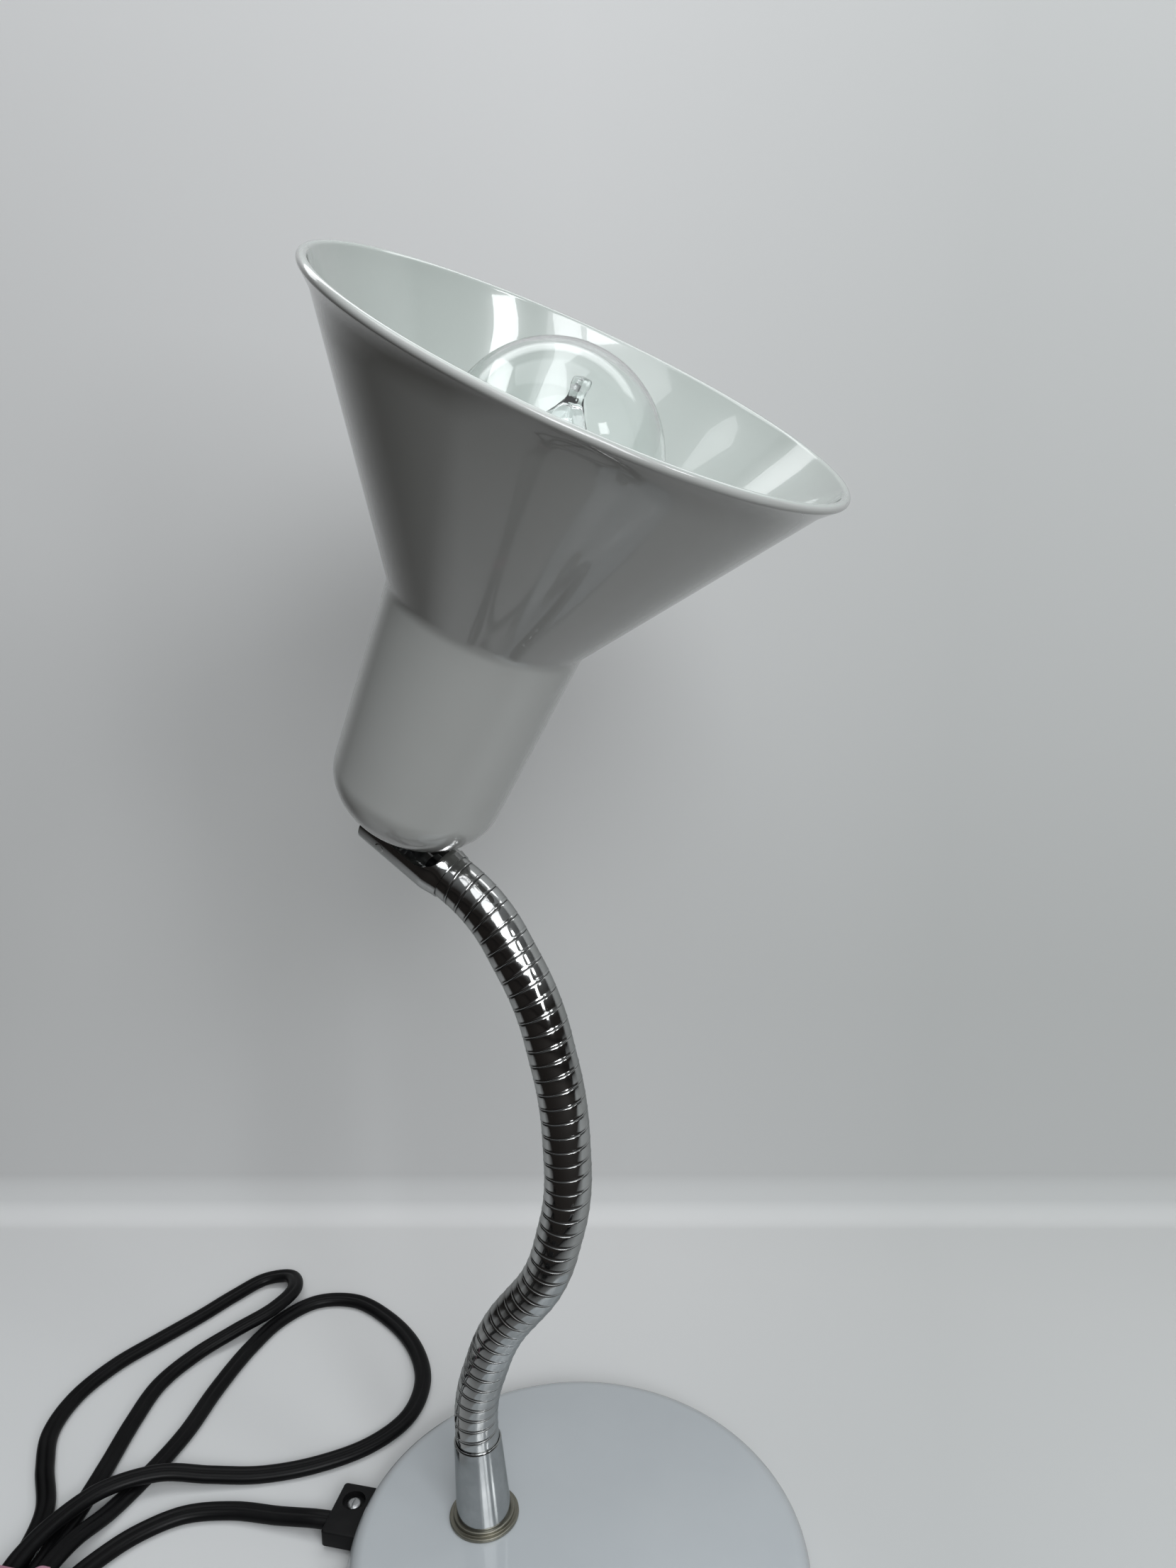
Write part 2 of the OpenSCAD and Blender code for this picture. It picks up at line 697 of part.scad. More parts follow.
// Outline of the shade's outer face, as half a section from its closed end to its rim
dome_curve = [for (k = [0:12]) let (a = 90 * k / 12)
    [neck_end_r * sin(a), shade_seat + dome_len * (1 - cos(a))]];
corner_r = 9;
cone_slope = atan2(rim_r - bead_r - neck_top_r, cone_len);
neck_slope = atan2(neck_top_r - neck_end_r, junction_z - dome_top_z);
corner_back = corner_r * tan((cone_slope - neck_slope) / 2);
corner_mid = [
    neck_top_r - corner_back * sin(neck_slope) + corner_r * cos(neck_slope),
    junction_z - corner_back * cos(neck_slope) - corner_r * sin(neck_slope)
];
shade_curve = concat(
    dome_curve,
    arc_xy(corner_mid[0], corner_mid[1], corner_r, 180 - neck_slope, 180 - cone_slope, 6),
    [[rim_r - bead_r, rim_z - bead_r]]
);

module shade() {
    inner = [for (k = [0:len(shade_curve) - 1])
        let (
            a = shade_curve[max(k - 1, 0)], c = shade_curve[min(k + 1, len(shade_curve) - 1)],
            t = unit(c - a)
        )
        k == 0 ? shade_curve[0] + [0, shade_t] : shade_curve[k] + shade_t * [-t[1], t[0]]];
    flip = [for (k = [len(inner) - 1:-1:0]) inner[k]];
    color("white") at_head() difference() {
        rotate_extrude($fn = 180) {
            polygon(concat(shade_curve, flip));
            translate([rim_r - bead_r, rim_z - bead_r]) circle(r = bead_r, $fn = 24);
        }
        translate([0, 0, shade_seat - 1]) cylinder(r = stem_r + fit_gap, h = 6);
    }
}

washer_in_z = shade_seat + dome_len * (1 - cos(asin(washer_in_r / neck_end_r))) + shade_t + 0.2;
module shade_washer() {
    color("silver") at_head() translate([0, 0, washer_in_z])
        ring(washer_in_r, stem_r + fit_gap, washer_in_t);
}

module distance_tube() {
    from = washer_in_z + washer_in_t;
    color("gainsboro") at_head() translate([0, 0, from])
        ring(spacer_r, stem_r + fit_gap, holder_z - from);
}

cap_throat_r = 9;
cap_flare_r = 13;
cap_flare_from = 6;
cap_flare_len = 6;
cap_throat_wall = 2;
module lampholder_cap() {
    inner_r = holder_r - holder_wall;
    shoulder_z = holder_z + cap_flare_from + cap_flare_len;
    color("#202020") at_head() difference() {
        union() {
            translate([0, 0, holder_z]) cylinder(r = cap_throat_r, h = cap_flare_from + cap_throat_wall);
            translate([0, 0, holder_z + cap_flare_from]) cylinder(r1 = cap_flare_r, r2 = holder_r, h = cap_flare_len);
            translate([0, 0, shoulder_z]) cylinder(r = holder_r, h = skirt_split_z - shoulder_z);
        }
        translate([0, 0, holder_z - 1]) cylinder(r = stem_r + run_gap, h = 2 * cap_flare_from);
        translate([0, 0, holder_z + cap_flare_from + cap_throat_wall])
            cylinder(r1 = cap_flare_r - cap_throat_wall, r2 = inner_r, h = cap_flare_len - 1);
        translate([0, 0, shoulder_z + 1]) cylinder(r = inner_r, h = 20);
    }
}

module lampholder_skirt() {
    lip = 3;
    color("#202020") at_head() difference() {
        translate([0, 0, skirt_split_z]) cylinder(r = holder_r, h = holder_top_z - skirt_split_z);
        translate([0, 0, skirt_split_z - 1])
            cylinder(r = holder_r - holder_wall, h = holder_top_z - skirt_split_z - lip + 1);
        translate([0, 0, skirt_split_z]) cylinder(r = sleeve_r + 1.2, h = 100);
    }
}

module lampholder_insert() {
    color("ivory") at_head() difference() {
        union() {
            translate([0, 0, insert_z]) cylinder(r = holder_r - holder_wall - fit_gap, h = insert_t);
            translate([0, 0, insert_z + insert_t]) ring(sleeve_r + sleeve_t + 1, sleeve_r, 2);
        }
        for (s = [-1, 1]) translate([s * 9, 0, insert_z - 1]) cylinder(r = 1.6, h = insert_t + 5);
        translate([0, 0, insert_z - 1]) cylinder(r = 1.2, h = insert_t + 5);
    }
}

module lampholder_sleeve() {
    from = insert_z + insert_t + 2;
    color("gold") at_head() translate([0, 0, from])
        ring(sleeve_r + sleeve_t, sleeve_r, holder_top_z - 4 - from);
}

module centre_contact() {
    color("gold") at_head() {
        translate([0, 0, insert_z - 1.5]) cylinder(r = 1.15, h = insert_t + 2);
        translate([-4, -2, insert_z + insert_t]) cube([8, 4, 0.5]);
        translate([3.5, -2, insert_z + insert_t]) cube([0.5, 4, contact_z - insert_z - insert_t - 0.2]);
        translate([-4, -2, contact_z - 0.7]) cube([8, 4, 0.5]);
    }
}

module terminal_screws() {
    color("silver") at_head() for (s = [-1, 1]) translate([s * 9, 0, insert_z - 3]) {
        cylinder(r = 2.6, h = 2.9);
        cylinder(r = 1.5, h = 2.9 + insert_t);
    }
}

module head_flex() {
    core_r = 1.5;
    low = shade_seat + 0.5;
    high = insert_z - 3.2;
    color("#181818") at_head() {
        for (s = [-1, 1]) {
            translate([s * 1.8, 0, low]) cylinder(r = core_r, h = high - 6 - low);
            translate([s * 1.8, 0, high - 6]) rotate([0, s * 50, 0]) cylinder(r = core_r, h = 7.6);
            translate([s * 1.8, 0, high - 6]) sphere(r = core_r);
        }
    }
}

// ---------- bulb ----------

glass_neck_r = 12.2;
glass_foot_z = cap_top_z - 4;
glass_curve = concat(
    [for (k = [0:14]) let (a = 90 - 135 * k / 14)
        [max(0, bulb_r * cos(a)), bulb_mid_z + bulb_r * sin(a)]],
    [for (k = [1:5]) let (
        t = k / 5,
        from = [bulb_r * cos(-45), bulb_mid_z + bulb_r * sin(-45)],
        to = [glass_neck_r, cap_top_z + 1],
        bend = [glass_neck_r + 0.6, cap_top_z + 13]
    ) (1 - t) * (1 - t) * from + 2 * t * (1 - t) * bend + t * t * to],
    [[glass_neck_r, glass_foot_z]]
);

module bulb_glass() {
    inner = [for (k = [0:len(glass_curve) - 1])
        let (
            n = len(glass_curve), a = glass_curve[max(k - 1, 0)],
            c = glass_curve[min(k + 1, n - 1)], t = unit(c - a)
        )
        k == 0 ? glass_curve[0] - [0, glass_t] : glass_curve[k] + glass_t * [t[1], -t[0]]];
    flip = [for (k = [len(inner) - 1:-1:0]) inner[k]];
    color("lightblue", 0.4) at_head() rotate_extrude($fn = 128) polygon(concat(glass_curve, flip));
}

module bulb_cap() {
    crest = cap_r - 0.5;
    threads = 4;
    low = contact_z + 4.5;
    color("silver") at_head() difference() {
        union() {
            translate([0, 0, low]) cylinder(r = crest, h = cap_top_z - low);
            translate([0, 0, contact_z + 2.5]) cylinder(r1 = 8, r2 = crest, h = 2);
            for (k = [0:threads]) translate([0, 0, low + 1.6 + k * thread_pitch])
                rotate_extrude($fn = 96) translate([crest - 0.4, 0]) circle(r = 0.9, $fn = 24);
        }
        translate([0, 0, low + 0.5]) cylinder(r = glass_neck_r + 0.05, h = cap_len);
        translate([0, 0, contact_z]) cylinder(r = 6.5, h = 8);
    }
}

module bulb_insulator() {
    color("#101014") at_head() difference() {
        translate([0, 0, contact_z + 1]) cylinder(r1 = 4.4, r2 = 6.45, h = 3);
        translate([0, 0, contact_z]) cylinder(r = 2.4, h = 6);
    }
}

module bulb_contact() {
    color("silver") at_head() {
        translate([0, 0, contact_z]) cylinder(r = 4, h = 1);
        translate([0, 0, contact_z + 0.5]) cylinder(r = 2.35, h = 3.5);
    }
}

stem_z = contact_z + 9;
stem_len = 32;
lead_off = 2.4;
capsule_drop = 8.4;
capsule_top_z = bulb_tip_z - capsule_drop;
pinch_len = 5.4;
capsule_r = 6.4;
capsule_low_z = capsule_top_z - 33;
module bulb_stem() {
    color("lightblue", 0.6) at_head() difference() {
        union() {
            translate([0, 0, glass_foot_z - 1])
                cylinder(r1 = glass_neck_r - glass_t - fit_gap, r2 = 5, h = 9);
            translate([0, 0, glass_foot_z + 7]) cylinder(r = 4, h = stem_len - 12);
        }
        for (s = [-1, 1]) translate([s * lead_off, 0, stem_z]) cylinder(r = 0.6, h = stem_len + 12);
    }
}

capsule_curve = concat(
    [[1.6, capsule_low_z]],
    [for (k = [0:6]) let (a = 90 * k / 6) [1.6 + (capsule_r - 1.6) * sin(a), capsule_low_z + 7 * (1 - cos(a))]],
    [for (k = [0:6]) let (a = 90 * k / 6)
        [2.4 + (capsule_r - 2.4) * cos(a), capsule_top_z - pinch_len - 9 + 9 * sin(a)]]
);
module halogen_capsule() {
    wall = 0.9;
    color("lightblue", 0.5) at_head() {
        difference() {
            union() {
                rotate_extrude($fn = 64) polygon(concat(
                    [[0, capsule_low_z]], capsule_curve, [[0, capsule_top_z - pinch_len]]
                ));
                translate([-1.1, -2.5, capsule_top_z - pinch_len - 1]) cube([2.2, 5, pinch_len + 1]);
            }
            translate([0, 0, capsule_low_z - 1]) cylinder(r = 1.5, h = 3);
            translate([0, 0, capsule_low_z + wall]) cylinder(r1 = 1.5, r2 = capsule_r - wall, h = 6);
            translate([0, 0, capsule_low_z + wall + 6]) cylinder(r = capsule_r - wall, h = 8);
            translate([0, 0, capsule_low_z + wall + 14]) cylinder(r1 = capsule_r - wall, r2 = 1, h = 8);
        }
    }
}

module filament() {
    color("gray") at_head() {
        translate([0, 0, capsule_low_z + 9.8]) cylinder(r = 0.7, h = 9);
        translate([0, 0, capsule_low_z - 0.6]) cylinder(r = 0.45, h = 11);
    }
}

module bulb_leads() {
    rod = 0.45;
    top = capsule_low_z - 1.2;
    color("silver") at_head() {
        for (s = [-1, 1]) translate([s * lead_off, 0, stem_z + 1]) cylinder(r = rod, h = top - stem_z);
        translate([0, 0, top]) rotate([0, 90, 0]) cylinder(r = rod, h = 2 * lead_off, center = true);
    }
}

// ---------- flex on the desk ----------

module free_flex() {
    color("#181818") {
        flex_tube(lead_route, 1);
        flex_tube(large_loop_route, 1);
        flex_tube(small_loop_route, 1);
        flex_tube(tail_route, 1);
        flex_tube(plug_lead_route, 1);
    }
}

module flex_hank() {
    color("#181818") linear_extrude(height = hank_h) {
        for (y = [hank_from_y - hank_r, hank_to_y + hank_r])
            translate([hank_mid_x, y]) circle(r = hank_r);
        translate([hank_mid_x - hank_r, hank_to_y + hank_r])
            square([2 * hank_r, hank_from_y - hank_to_y - 2 * hank_r]);
    }
}

tie_w = 4;
tie_t = 0.7;
tie_x0 = -196;
tie_x1 = -166;
tie_y = -50;
tie_h = 10.9;
module flex_tie() {
    color("palevioletred") translate([tie_x0, tie_y - tie_w / 2, 0]) difference() {
        cube([tie_x1 - tie_x0, tie_w, tie_h]);
        translate([tie_t, -1, tie_t]) cube([tie_x1 - tie_x0 - 2 * tie_t, tie_w + 2, tie_h - 2 * tie_t]);
    }
}

// ---------- in-line switch ----------

module at_switch() {
    translate([switch_x, switch_y, 0]) children();
}

rocker_r = 8.5;
rocker_w = 9;
rocker_pivot_z = switch_h - 3.5;
rocker_mid = switch_len / 2;
rocker_half = 10.5;
rocker_pin_r = 1.2;
switch_split = 7;
module switch_outline(h) {
    end_r = 5;
    linear_extrude(height = h) {
        translate([end_r, -switch_w / 2]) square([switch_len - 2 * end_r, switch_w]);
        translate([0, -switch_w / 2 + end_r]) square([switch_len, switch_w - 2 * end_r]);
        for (x = [end_r, switch_len - end_r]) for (s = [-1, 1])
            translate([x, s * (switch_w / 2 - end_r)]) circle(r = end_r);
    }
}

module switch_screw_places() {
    for (x = [9, switch_len - 9]) for (s = [-1, 1]) translate([x, s * (switch_w / 2 - 4.5), 0]) children();
}

module switch_base() {
    color("#181818") at_switch() difference() {
        switch_outline(switch_split);
        translate([4, -5, 1.6]) cube([switch_len - 8, 10, switch_split]);
        switch_screw_places() translate([0, 0, -1]) cylinder(r = 1.5, h = 20);
    }
}

module switch_cover() {
    color("#181818") at_switch() difference() {
        translate([0, 0, switch_split]) switch_outline(switch_h - switch_split);
        translate([4, -5.5, switch_split - 1]) cube([switch_len - 8, 11, 4]);
        translate([rocker_mid - rocker_half - 0.8, -rocker_w / 2 - 0.4, switch_split])
            cube([2 * rocker_half + 1.6, rocker_w + 0.8, switch_h]);
        translate([rocker_mid, 0, rocker_pivot_z]) rotate([90, 0, 0])
            cylinder(r = rocker_pin_r + run_gap, h = rocker_w + 5, center = true);
        switch_screw_places() translate([0, 0, switch_split - 1]) cylinder(r = 1.15, h = 7);
    }
}

// The rocker's top is a shallow V, pressed down on one side at rest
rocker_rest = 8;
module switch_rocker() {
    color("#181818") at_switch() translate([rocker_mid, 0, rocker_pivot_z]) rotate([0, rocker_rest, 0])
        difference() {
            union() {
                translate([0, rocker_w / 2, 0]) rotate([90, 0, 0]) linear_extrude(height = rocker_w)
                    polygon([
                        [-rocker_half + 0.6, 0.2], [-4, -4], [4, -4], [rocker_half - 0.6, 0.2],
                        [rocker_half - 0.3, 5.4], [0, 3.9], [-rocker_half + 0.3, 5.4]
                    ]);
                rotate([90, 0, 0]) cylinder(r = rocker_pin_r, h = rocker_w + 3.6, center = true);
            }
        }
}

module switch_screws() {
    color("silver") at_switch() switch_screw_places() {
        translate([0, 0, 0.4]) cylinder(r = 1.1, h = switch_split + 4.6);
    }
}

// ---------- plug ----------

module plug_body() {
    waist = 12;
    color("#181818") translate([plug_x, plug_y, plug_h / 2]) {
        translate([relief_len, 0, 0]) rotate([0, 90, 0]) intersection() {
            linear_extrude(height = plug_len) union() {
                square([plug_h, plug_w - plug_h], center = true);
                for (s = [-1, 1]) translate([0, s * (plug_w - plug_h) / 2]) circle(r = plug_h / 2);
            }
            translate([-plug_h, 0, 0]) rotate([0, 90, 0]) linear_extrude(height = 2 * plug_h)
                polygon([
                    [0, -waist / 2], [-plug_len + 12, -plug_w / 2], [-plug_len, -plug_w / 2],
                    [-plug_len, plug_w / 2], [-plug_len + 12, plug_w / 2], [0, waist / 2]
                ]);
        }
        rotate([0, 90, 0]) cylinder(r1 = flex_w / 2 + 0.6, r2 = 5.6, h = relief_len);
    }
}

module plug_pins() {
    pin_len = 19;
    color("silver") translate([plug_x + relief_len + plug_len, plug_y, plug_h / 2])
        for (s = [-1, 1]) translate([0, s * plug_pin_gap / 2, 0]) rotate([0, 90, 0]) {
            cylinder(r = plug_pin_r, h = pin_len - 1);
            translate([0, 0, pin_len - 1]) cylinder(r1 = plug_pin_r, r2 = plug_pin_r - 0.8, h = 1);
        }
}

// ---------- pieces ----------

felt_pad();
bottom_plate();
plate_screws();
cover_studs();
ballast_disc();
base_cover();
cord_block_lower();
cord_block_upper();
cord_block_screw();
base_flex();
base_nipple();
lock_washer();
nipple_nut();
neck_washer();
neck_ferrule();
neck_section_1();
neck_section_2();
neck_section_3();
neck_section_4();
neck_section_5();
neck_section_6();
neck_section_7();
neck_flex_2();
neck_flex_3();
neck_flex_4();
neck_flex_5();
neck_flex_6();
neck_flex_7();
swivel_fork();
swivel_pin();
tilt_stud();
shade();
shade_washer();
distance_tube();
lampholder_cap();
lampholder_skirt();
lampholder_insert();
lampholder_sleeve();
centre_contact();
terminal_screws();
head_flex();
bulb_glass();
bulb_cap();
bulb_insulator();
bulb_contact();
bulb_stem();
halogen_capsule();
filament();
bulb_leads();
free_flex();
flex_hank();
flex_tie();
switch_base();
switch_cover();
switch_rocker();
switch_screws();
plug_body();
plug_pins();
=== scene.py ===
"""Gooseneck desk lamp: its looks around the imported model, with floor, backdrop and lights.

Shapes are in millimetres, in the lamp's frame or in a local frame named FOOT, FORK, HEAD, RUN or
ROCK. Camera, lights, floor and backdrop are in metres."""
import json
import math

import bmesh
import bpy
import numpy as np
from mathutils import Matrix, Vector


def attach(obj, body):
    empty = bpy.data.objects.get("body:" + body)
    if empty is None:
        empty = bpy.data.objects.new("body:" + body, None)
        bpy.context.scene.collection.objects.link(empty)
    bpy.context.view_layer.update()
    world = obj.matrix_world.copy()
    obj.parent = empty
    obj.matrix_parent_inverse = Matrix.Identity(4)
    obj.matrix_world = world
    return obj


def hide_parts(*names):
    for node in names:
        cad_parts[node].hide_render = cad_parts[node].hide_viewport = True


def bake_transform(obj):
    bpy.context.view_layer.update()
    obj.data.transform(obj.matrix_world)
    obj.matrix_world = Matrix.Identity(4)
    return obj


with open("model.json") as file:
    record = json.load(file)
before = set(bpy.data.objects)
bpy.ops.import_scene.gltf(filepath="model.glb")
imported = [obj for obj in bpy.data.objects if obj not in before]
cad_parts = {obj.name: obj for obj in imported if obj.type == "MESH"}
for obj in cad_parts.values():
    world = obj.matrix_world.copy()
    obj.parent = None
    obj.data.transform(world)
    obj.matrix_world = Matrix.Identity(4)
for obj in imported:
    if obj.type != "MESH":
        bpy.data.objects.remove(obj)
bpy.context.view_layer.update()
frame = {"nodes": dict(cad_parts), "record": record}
scene = bpy.context.scene
scene.view_settings.view_transform = "Standard"
MM = 0.001


# ---------- small helpers ----------

def vec(*v):
    return np.array(v, float)


def unit(v):
    return v / np.linalg.norm(v)


def axes(origin, x, z):
    """4 x 4 from a local frame in millimetres, given where its X and Z point."""
    m = np.eye(4)
    m[:3, 0], m[:3, 1], m[:3, 2], m[:3, 3] = x, np.cross(z, x), z, origin
    return m


def placed(points, m=None):
    """Points in metres, taken out of a local frame if one is given."""
    p = np.asarray(points, float).reshape(-1, 3)
    if m is not None:
        p = p @ m[:3, :3].T + m[:3, 3]
    return p * MM


def smooth_step(a, b, t):
    """Eases from 0 at a to 1 at b."""
    t = min(1.0, max(0.0, (t - a) / (b - a)))
    return t * t * (3 - 2 * t)


def new_object(name, points, faces, mats, m=None, index=None, sharp=None, merge=1e-7):
    """A smooth-shaded mesh piece from points in millimetres, with its faces turned outwards.
    index gives each face's material, and edges steeper than sharp degrees stay sharp."""
    mesh = bpy.data.meshes.new(name)
    mesh.from_pydata([tuple(p) for p in placed(points, m)], [], faces)
    for mat in mats if isinstance(mats, (list, tuple)) else [mats]:
        mesh.materials.append(mat)
    if index is not None:
        mesh.polygons.foreach_set("material_index", index)
    b = bmesh.new()
    b.from_mesh(mesh)
    bmesh.ops.remove_doubles(b, verts=b.verts, dist=merge)
    bmesh.ops.dissolve_degenerate(b, edges=b.edges, dist=merge)
    bmesh.ops.recalc_face_normals(b, faces=b.faces)
    b.to_mesh(mesh)
    b.free()
    mesh.polygons.foreach_set("use_smooth", [True] * len(mesh.polygons))
    if sharp:
        mesh.set_sharp_from_angle(angle=math.radians(sharp))
    ob = bpy.data.objects.new(name, mesh)
    scene.collection.objects.link(ob)
    return ob


def soften(points, radius, steps=3, closed=False, hold=0.12):
    """Rounds the corners of a 2-D outline, with a holding point on each side of every rounding.
    A rounding takes at most 0.42 of a side and its holding point 0.48, so neighbours never meet."""
    pts = [vec(*p) for p in points]
    n, out = len(pts), []
    radii = radius if isinstance(radius, (list, tuple)) else [radius] * n
    for i, c in enumerate(pts):
        if not closed and i in (0, n - 1):
            out.append(c)
            continue
        a, b = pts[i - 1], pts[(i + 1) % n]
        la, lb = np.linalg.norm(a - c), np.linalg.norm(b - c)
        d = min(radii[i], 0.42 * la, 0.42 * lb)
        if d <= 0:
            out.append(c)
            continue
        ua, ub = (a - c) / la, (b - c) / lb
        h = min(d + hold, 0.48 * la, 0.48 * lb)
        out.append(c + ua * h)
        for k in range(steps + 1):
            t = k / steps
            out.append((1 - t) ** 2 * (c + ua * d) + 2 * t * (1 - t) * c + t * t * (c + ub * d))
        out.append(c + ub * h)
    return [tuple(p) for p in out]


def lathe(profile, steps=160, closed=False):
    """Points and faces of a profile of (radius, height) turned about Z."""
    pts, n = [], len(profile)
    for k in range(steps):
        a = 2 * math.pi * k / steps
        c, s = math.cos(a), math.sin(a)
        pts += [(r * c, r * s, z) for r, z in profile]
    faces = []
    for k in range(steps):
        q = (k + 1) % steps
        for i in range(n if closed else n - 1):
            j = (i + 1) % n
            faces.append((k * n + i, q * n + i, q * n + j, k * n + j))
    return pts, faces


def loft(rings, caps=True):
    """Points and faces that join rings of equal point counts, closed round and capped."""
    n = len(rings[0])
    pts = [p for r in rings for p in r]
    faces = []
    for i in range(len(rings) - 1):
        for k in range(n):
            q = (k + 1) % n
            faces.append((i * n + k, i * n + q, (i + 1) * n + q, (i + 1) * n + k))
    if caps:
        last = (len(rings) - 1) * n
        faces += [tuple(range(n)), tuple(last + k for k in range(n))]
    return pts, faces


def grid(columns, n):
    """Faces that join neighbouring columns of n points."""
    return [(k * n + i, (k + 1) * n + i, (k + 1) * n + i + 1, k * n + i + 1)
            for k in range(columns - 1) for i in range(n - 1)]


def arc(cx, cy, r, angles):
    """Points of a circle at angles in degrees."""
    return [(cx + r * math.cos(math.radians(a)), cy + r * math.sin(math.radians(a))) for a in angles]


def rounded_rect(w, h, r, per=6):
    """Corner-rounded rectangle about the origin, anticlockwise."""
    r = min(r, w / 2 - 1e-3, h / 2 - 1e-3)
    out = []
    for cx, cy, start in ((w / 2 - r, h / 2 - r, 0), (r - w / 2, h / 2 - r, 90),
                          (r - w / 2, r - h / 2, 180), (w / 2 - r, r - h / 2, 270)):
        out += arc(cx, cy, r, [start + 90 * k / per for k in range(per + 1)])
    return out


def moved(points, x, y):
    return [(px + x, py + y, pz) for px, py, pz in points]


def prism(outline, z0, z1):
    """Points and faces of a 2-D outline drawn out from one height to another."""
    return loft([[(x, y, z) for x, y in outline] for z in (z0, z1)])


def cut(ob, *cutters):
    """Subtracts the cutters from ob and removes them."""
    keep_sharp = math.radians(28)
    for c in cutters:
        mod = ob.modifiers.new("cut", "BOOLEAN")
        mod.operation, mod.solver, mod.object = "DIFFERENCE", "EXACT", c
        dg = bpy.context.evaluated_depsgraph_get()
        dg.update()
        made = bpy.data.meshes.new_from_object(ob.evaluated_get(dg))
        ob.modifiers.clear()
        ob.data = made
        bpy.data.objects.remove(c)
    made.polygons.foreach_set("use_smooth", [True] * len(made.polygons))
    made.set_sharp_from_angle(angle=keep_sharp)
    return ob


def give(ob, body, slot, *nodes):
    """Puts a piece on its body and hides the CAD nodes that it stands for. slot is not used."""
    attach(ob, body)
    if nodes:
        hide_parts(*nodes)
    return ob


# ---------- camera ----------

CAMERA_AT = (0.0731, -0.3284, 0.3647)
LENS, SENSOR = 27.03, 36
LOOKS_DOWN = math.radians(13.5)
# Which way the camera looks, seen from above
AHEAD = (-0.2079, 0.9781)
cam_data = bpy.data.cameras.new("camera")
camera = bpy.data.objects.new("camera", cam_data)
scene.collection.objects.link(camera)
scene.camera = camera
cam_data.sensor_width, cam_data.lens = SENSOR, LENS
cam_data.clip_start, cam_data.clip_end = 0.01, 60
camera.location = CAMERA_AT
view = Vector((AHEAD[0] * math.cos(LOOKS_DOWN), AHEAD[1] * math.cos(LOOKS_DOWN), -math.sin(LOOKS_DOWN)))
camera.rotation_mode = "QUATERNION"
camera.rotation_quaternion = view.to_track_quat("-Z", "Y")


# ---------- materials ----------

def put(tree, kind, inputs=None, **props):
    """A new node whose inputs are values or the outputs of other nodes."""
    node = tree.nodes.new(kind)
    for k, v in props.items():
        setattr(node, k, v)
    for k, v in (inputs or {}).items():
        if isinstance(v, bpy.types.NodeSocket):
            tree.links.new(v, node.inputs[k])
        else:
            node.inputs[k].default_value = v
    return node


def noise(tree, coord, scale, detail=3.0, rough=0.55):
    return put(tree, "ShaderNodeTexNoise", {
        "Vector": coord, "Scale": scale, "Detail": detail, "Roughness": rough}).outputs[0]


def span(tree, value, low, high, to_low=0.0, to_high=1.0):
    """Maps low to high onto the second pair, and holds it at the ends."""
    return put(tree, "ShaderNodeMapRange", {
        "Value": value, "From Min": low, "From Max": high, "To Min": to_low,
        "To Max": to_high}).outputs[0]


def blend_colour(tree, factor, a, b, mode="MIX"):
    a, b = (v if isinstance(v, bpy.types.NodeSocket) else (*v, 1) for v in (a, b))
    return put(tree, "ShaderNodeMix", {0: factor, 6: a, 7: b}, data_type="RGBA",
               blend_type=mode).outputs[2]


def maths(tree, op, a, b=0.0, clamp=False):
    return put(tree, "ShaderNodeMath", {0: a, 1: b}, operation=op, use_clamp=clamp).outputs[0]


def new_material(name, fixed):
    """A material with fixed shader inputs, its tree and shader, and the object's coordinates."""
    mat = bpy.data.materials.new(name)
    mat.use_nodes = True
    shader = mat.node_tree.nodes["Principled BSDF"]
    for k, v in fixed.items():
        shader.inputs[k].default_value = v
    coord = put(mat.node_tree, "ShaderNodeTexCoord").outputs["Object"]
    return mat, mat.node_tree, shader, coord


def surface(name, colour, other, rough=(0.3, 0.4), metallic=0.0, patch=40.0, fine=900.0,
            bump=0.05, bump_size=0.0002, fixed=None, wear=None):
    """A surface whose colour drifts between two tones in patches, with its roughness and a fine
    bump from noise. wear is (colour, share, scale) of small worn or dusty spots. Gives the
    material, its tree and shader, and the sockets of the coordinates, colour and roughness."""
    mat, t, shader, coord = new_material(name, {"Metallic": metallic, **(fixed or {})})
    big = noise(t, coord, patch, 4.0, 0.6)
    tint = blend_colour(t, span(t, big, 0.35, 0.68), colour, other)
    roughness = span(t, big, 0.3, 0.7, *rough)
    if wear:
        spots = span(t, noise(t, coord, wear[2], 5.0, 0.7), 0.78 - wear[1], 0.82 - wear[1])
        tint = blend_colour(t, spots, tint, wear[0])
    t.links.new(tint, shader.inputs["Base Color"])
    t.links.new(roughness, shader.inputs["Roughness"])
    grain = noise(t, coord, fine, 3.0, 0.6)
    b = put(t, "ShaderNodeBump", {"Height": grain, "Strength": bump, "Distance": bump_size})
    t.links.new(b.outputs[0], shader.inputs["Normal"])
    return mat, t, shader, coord, tint, roughness


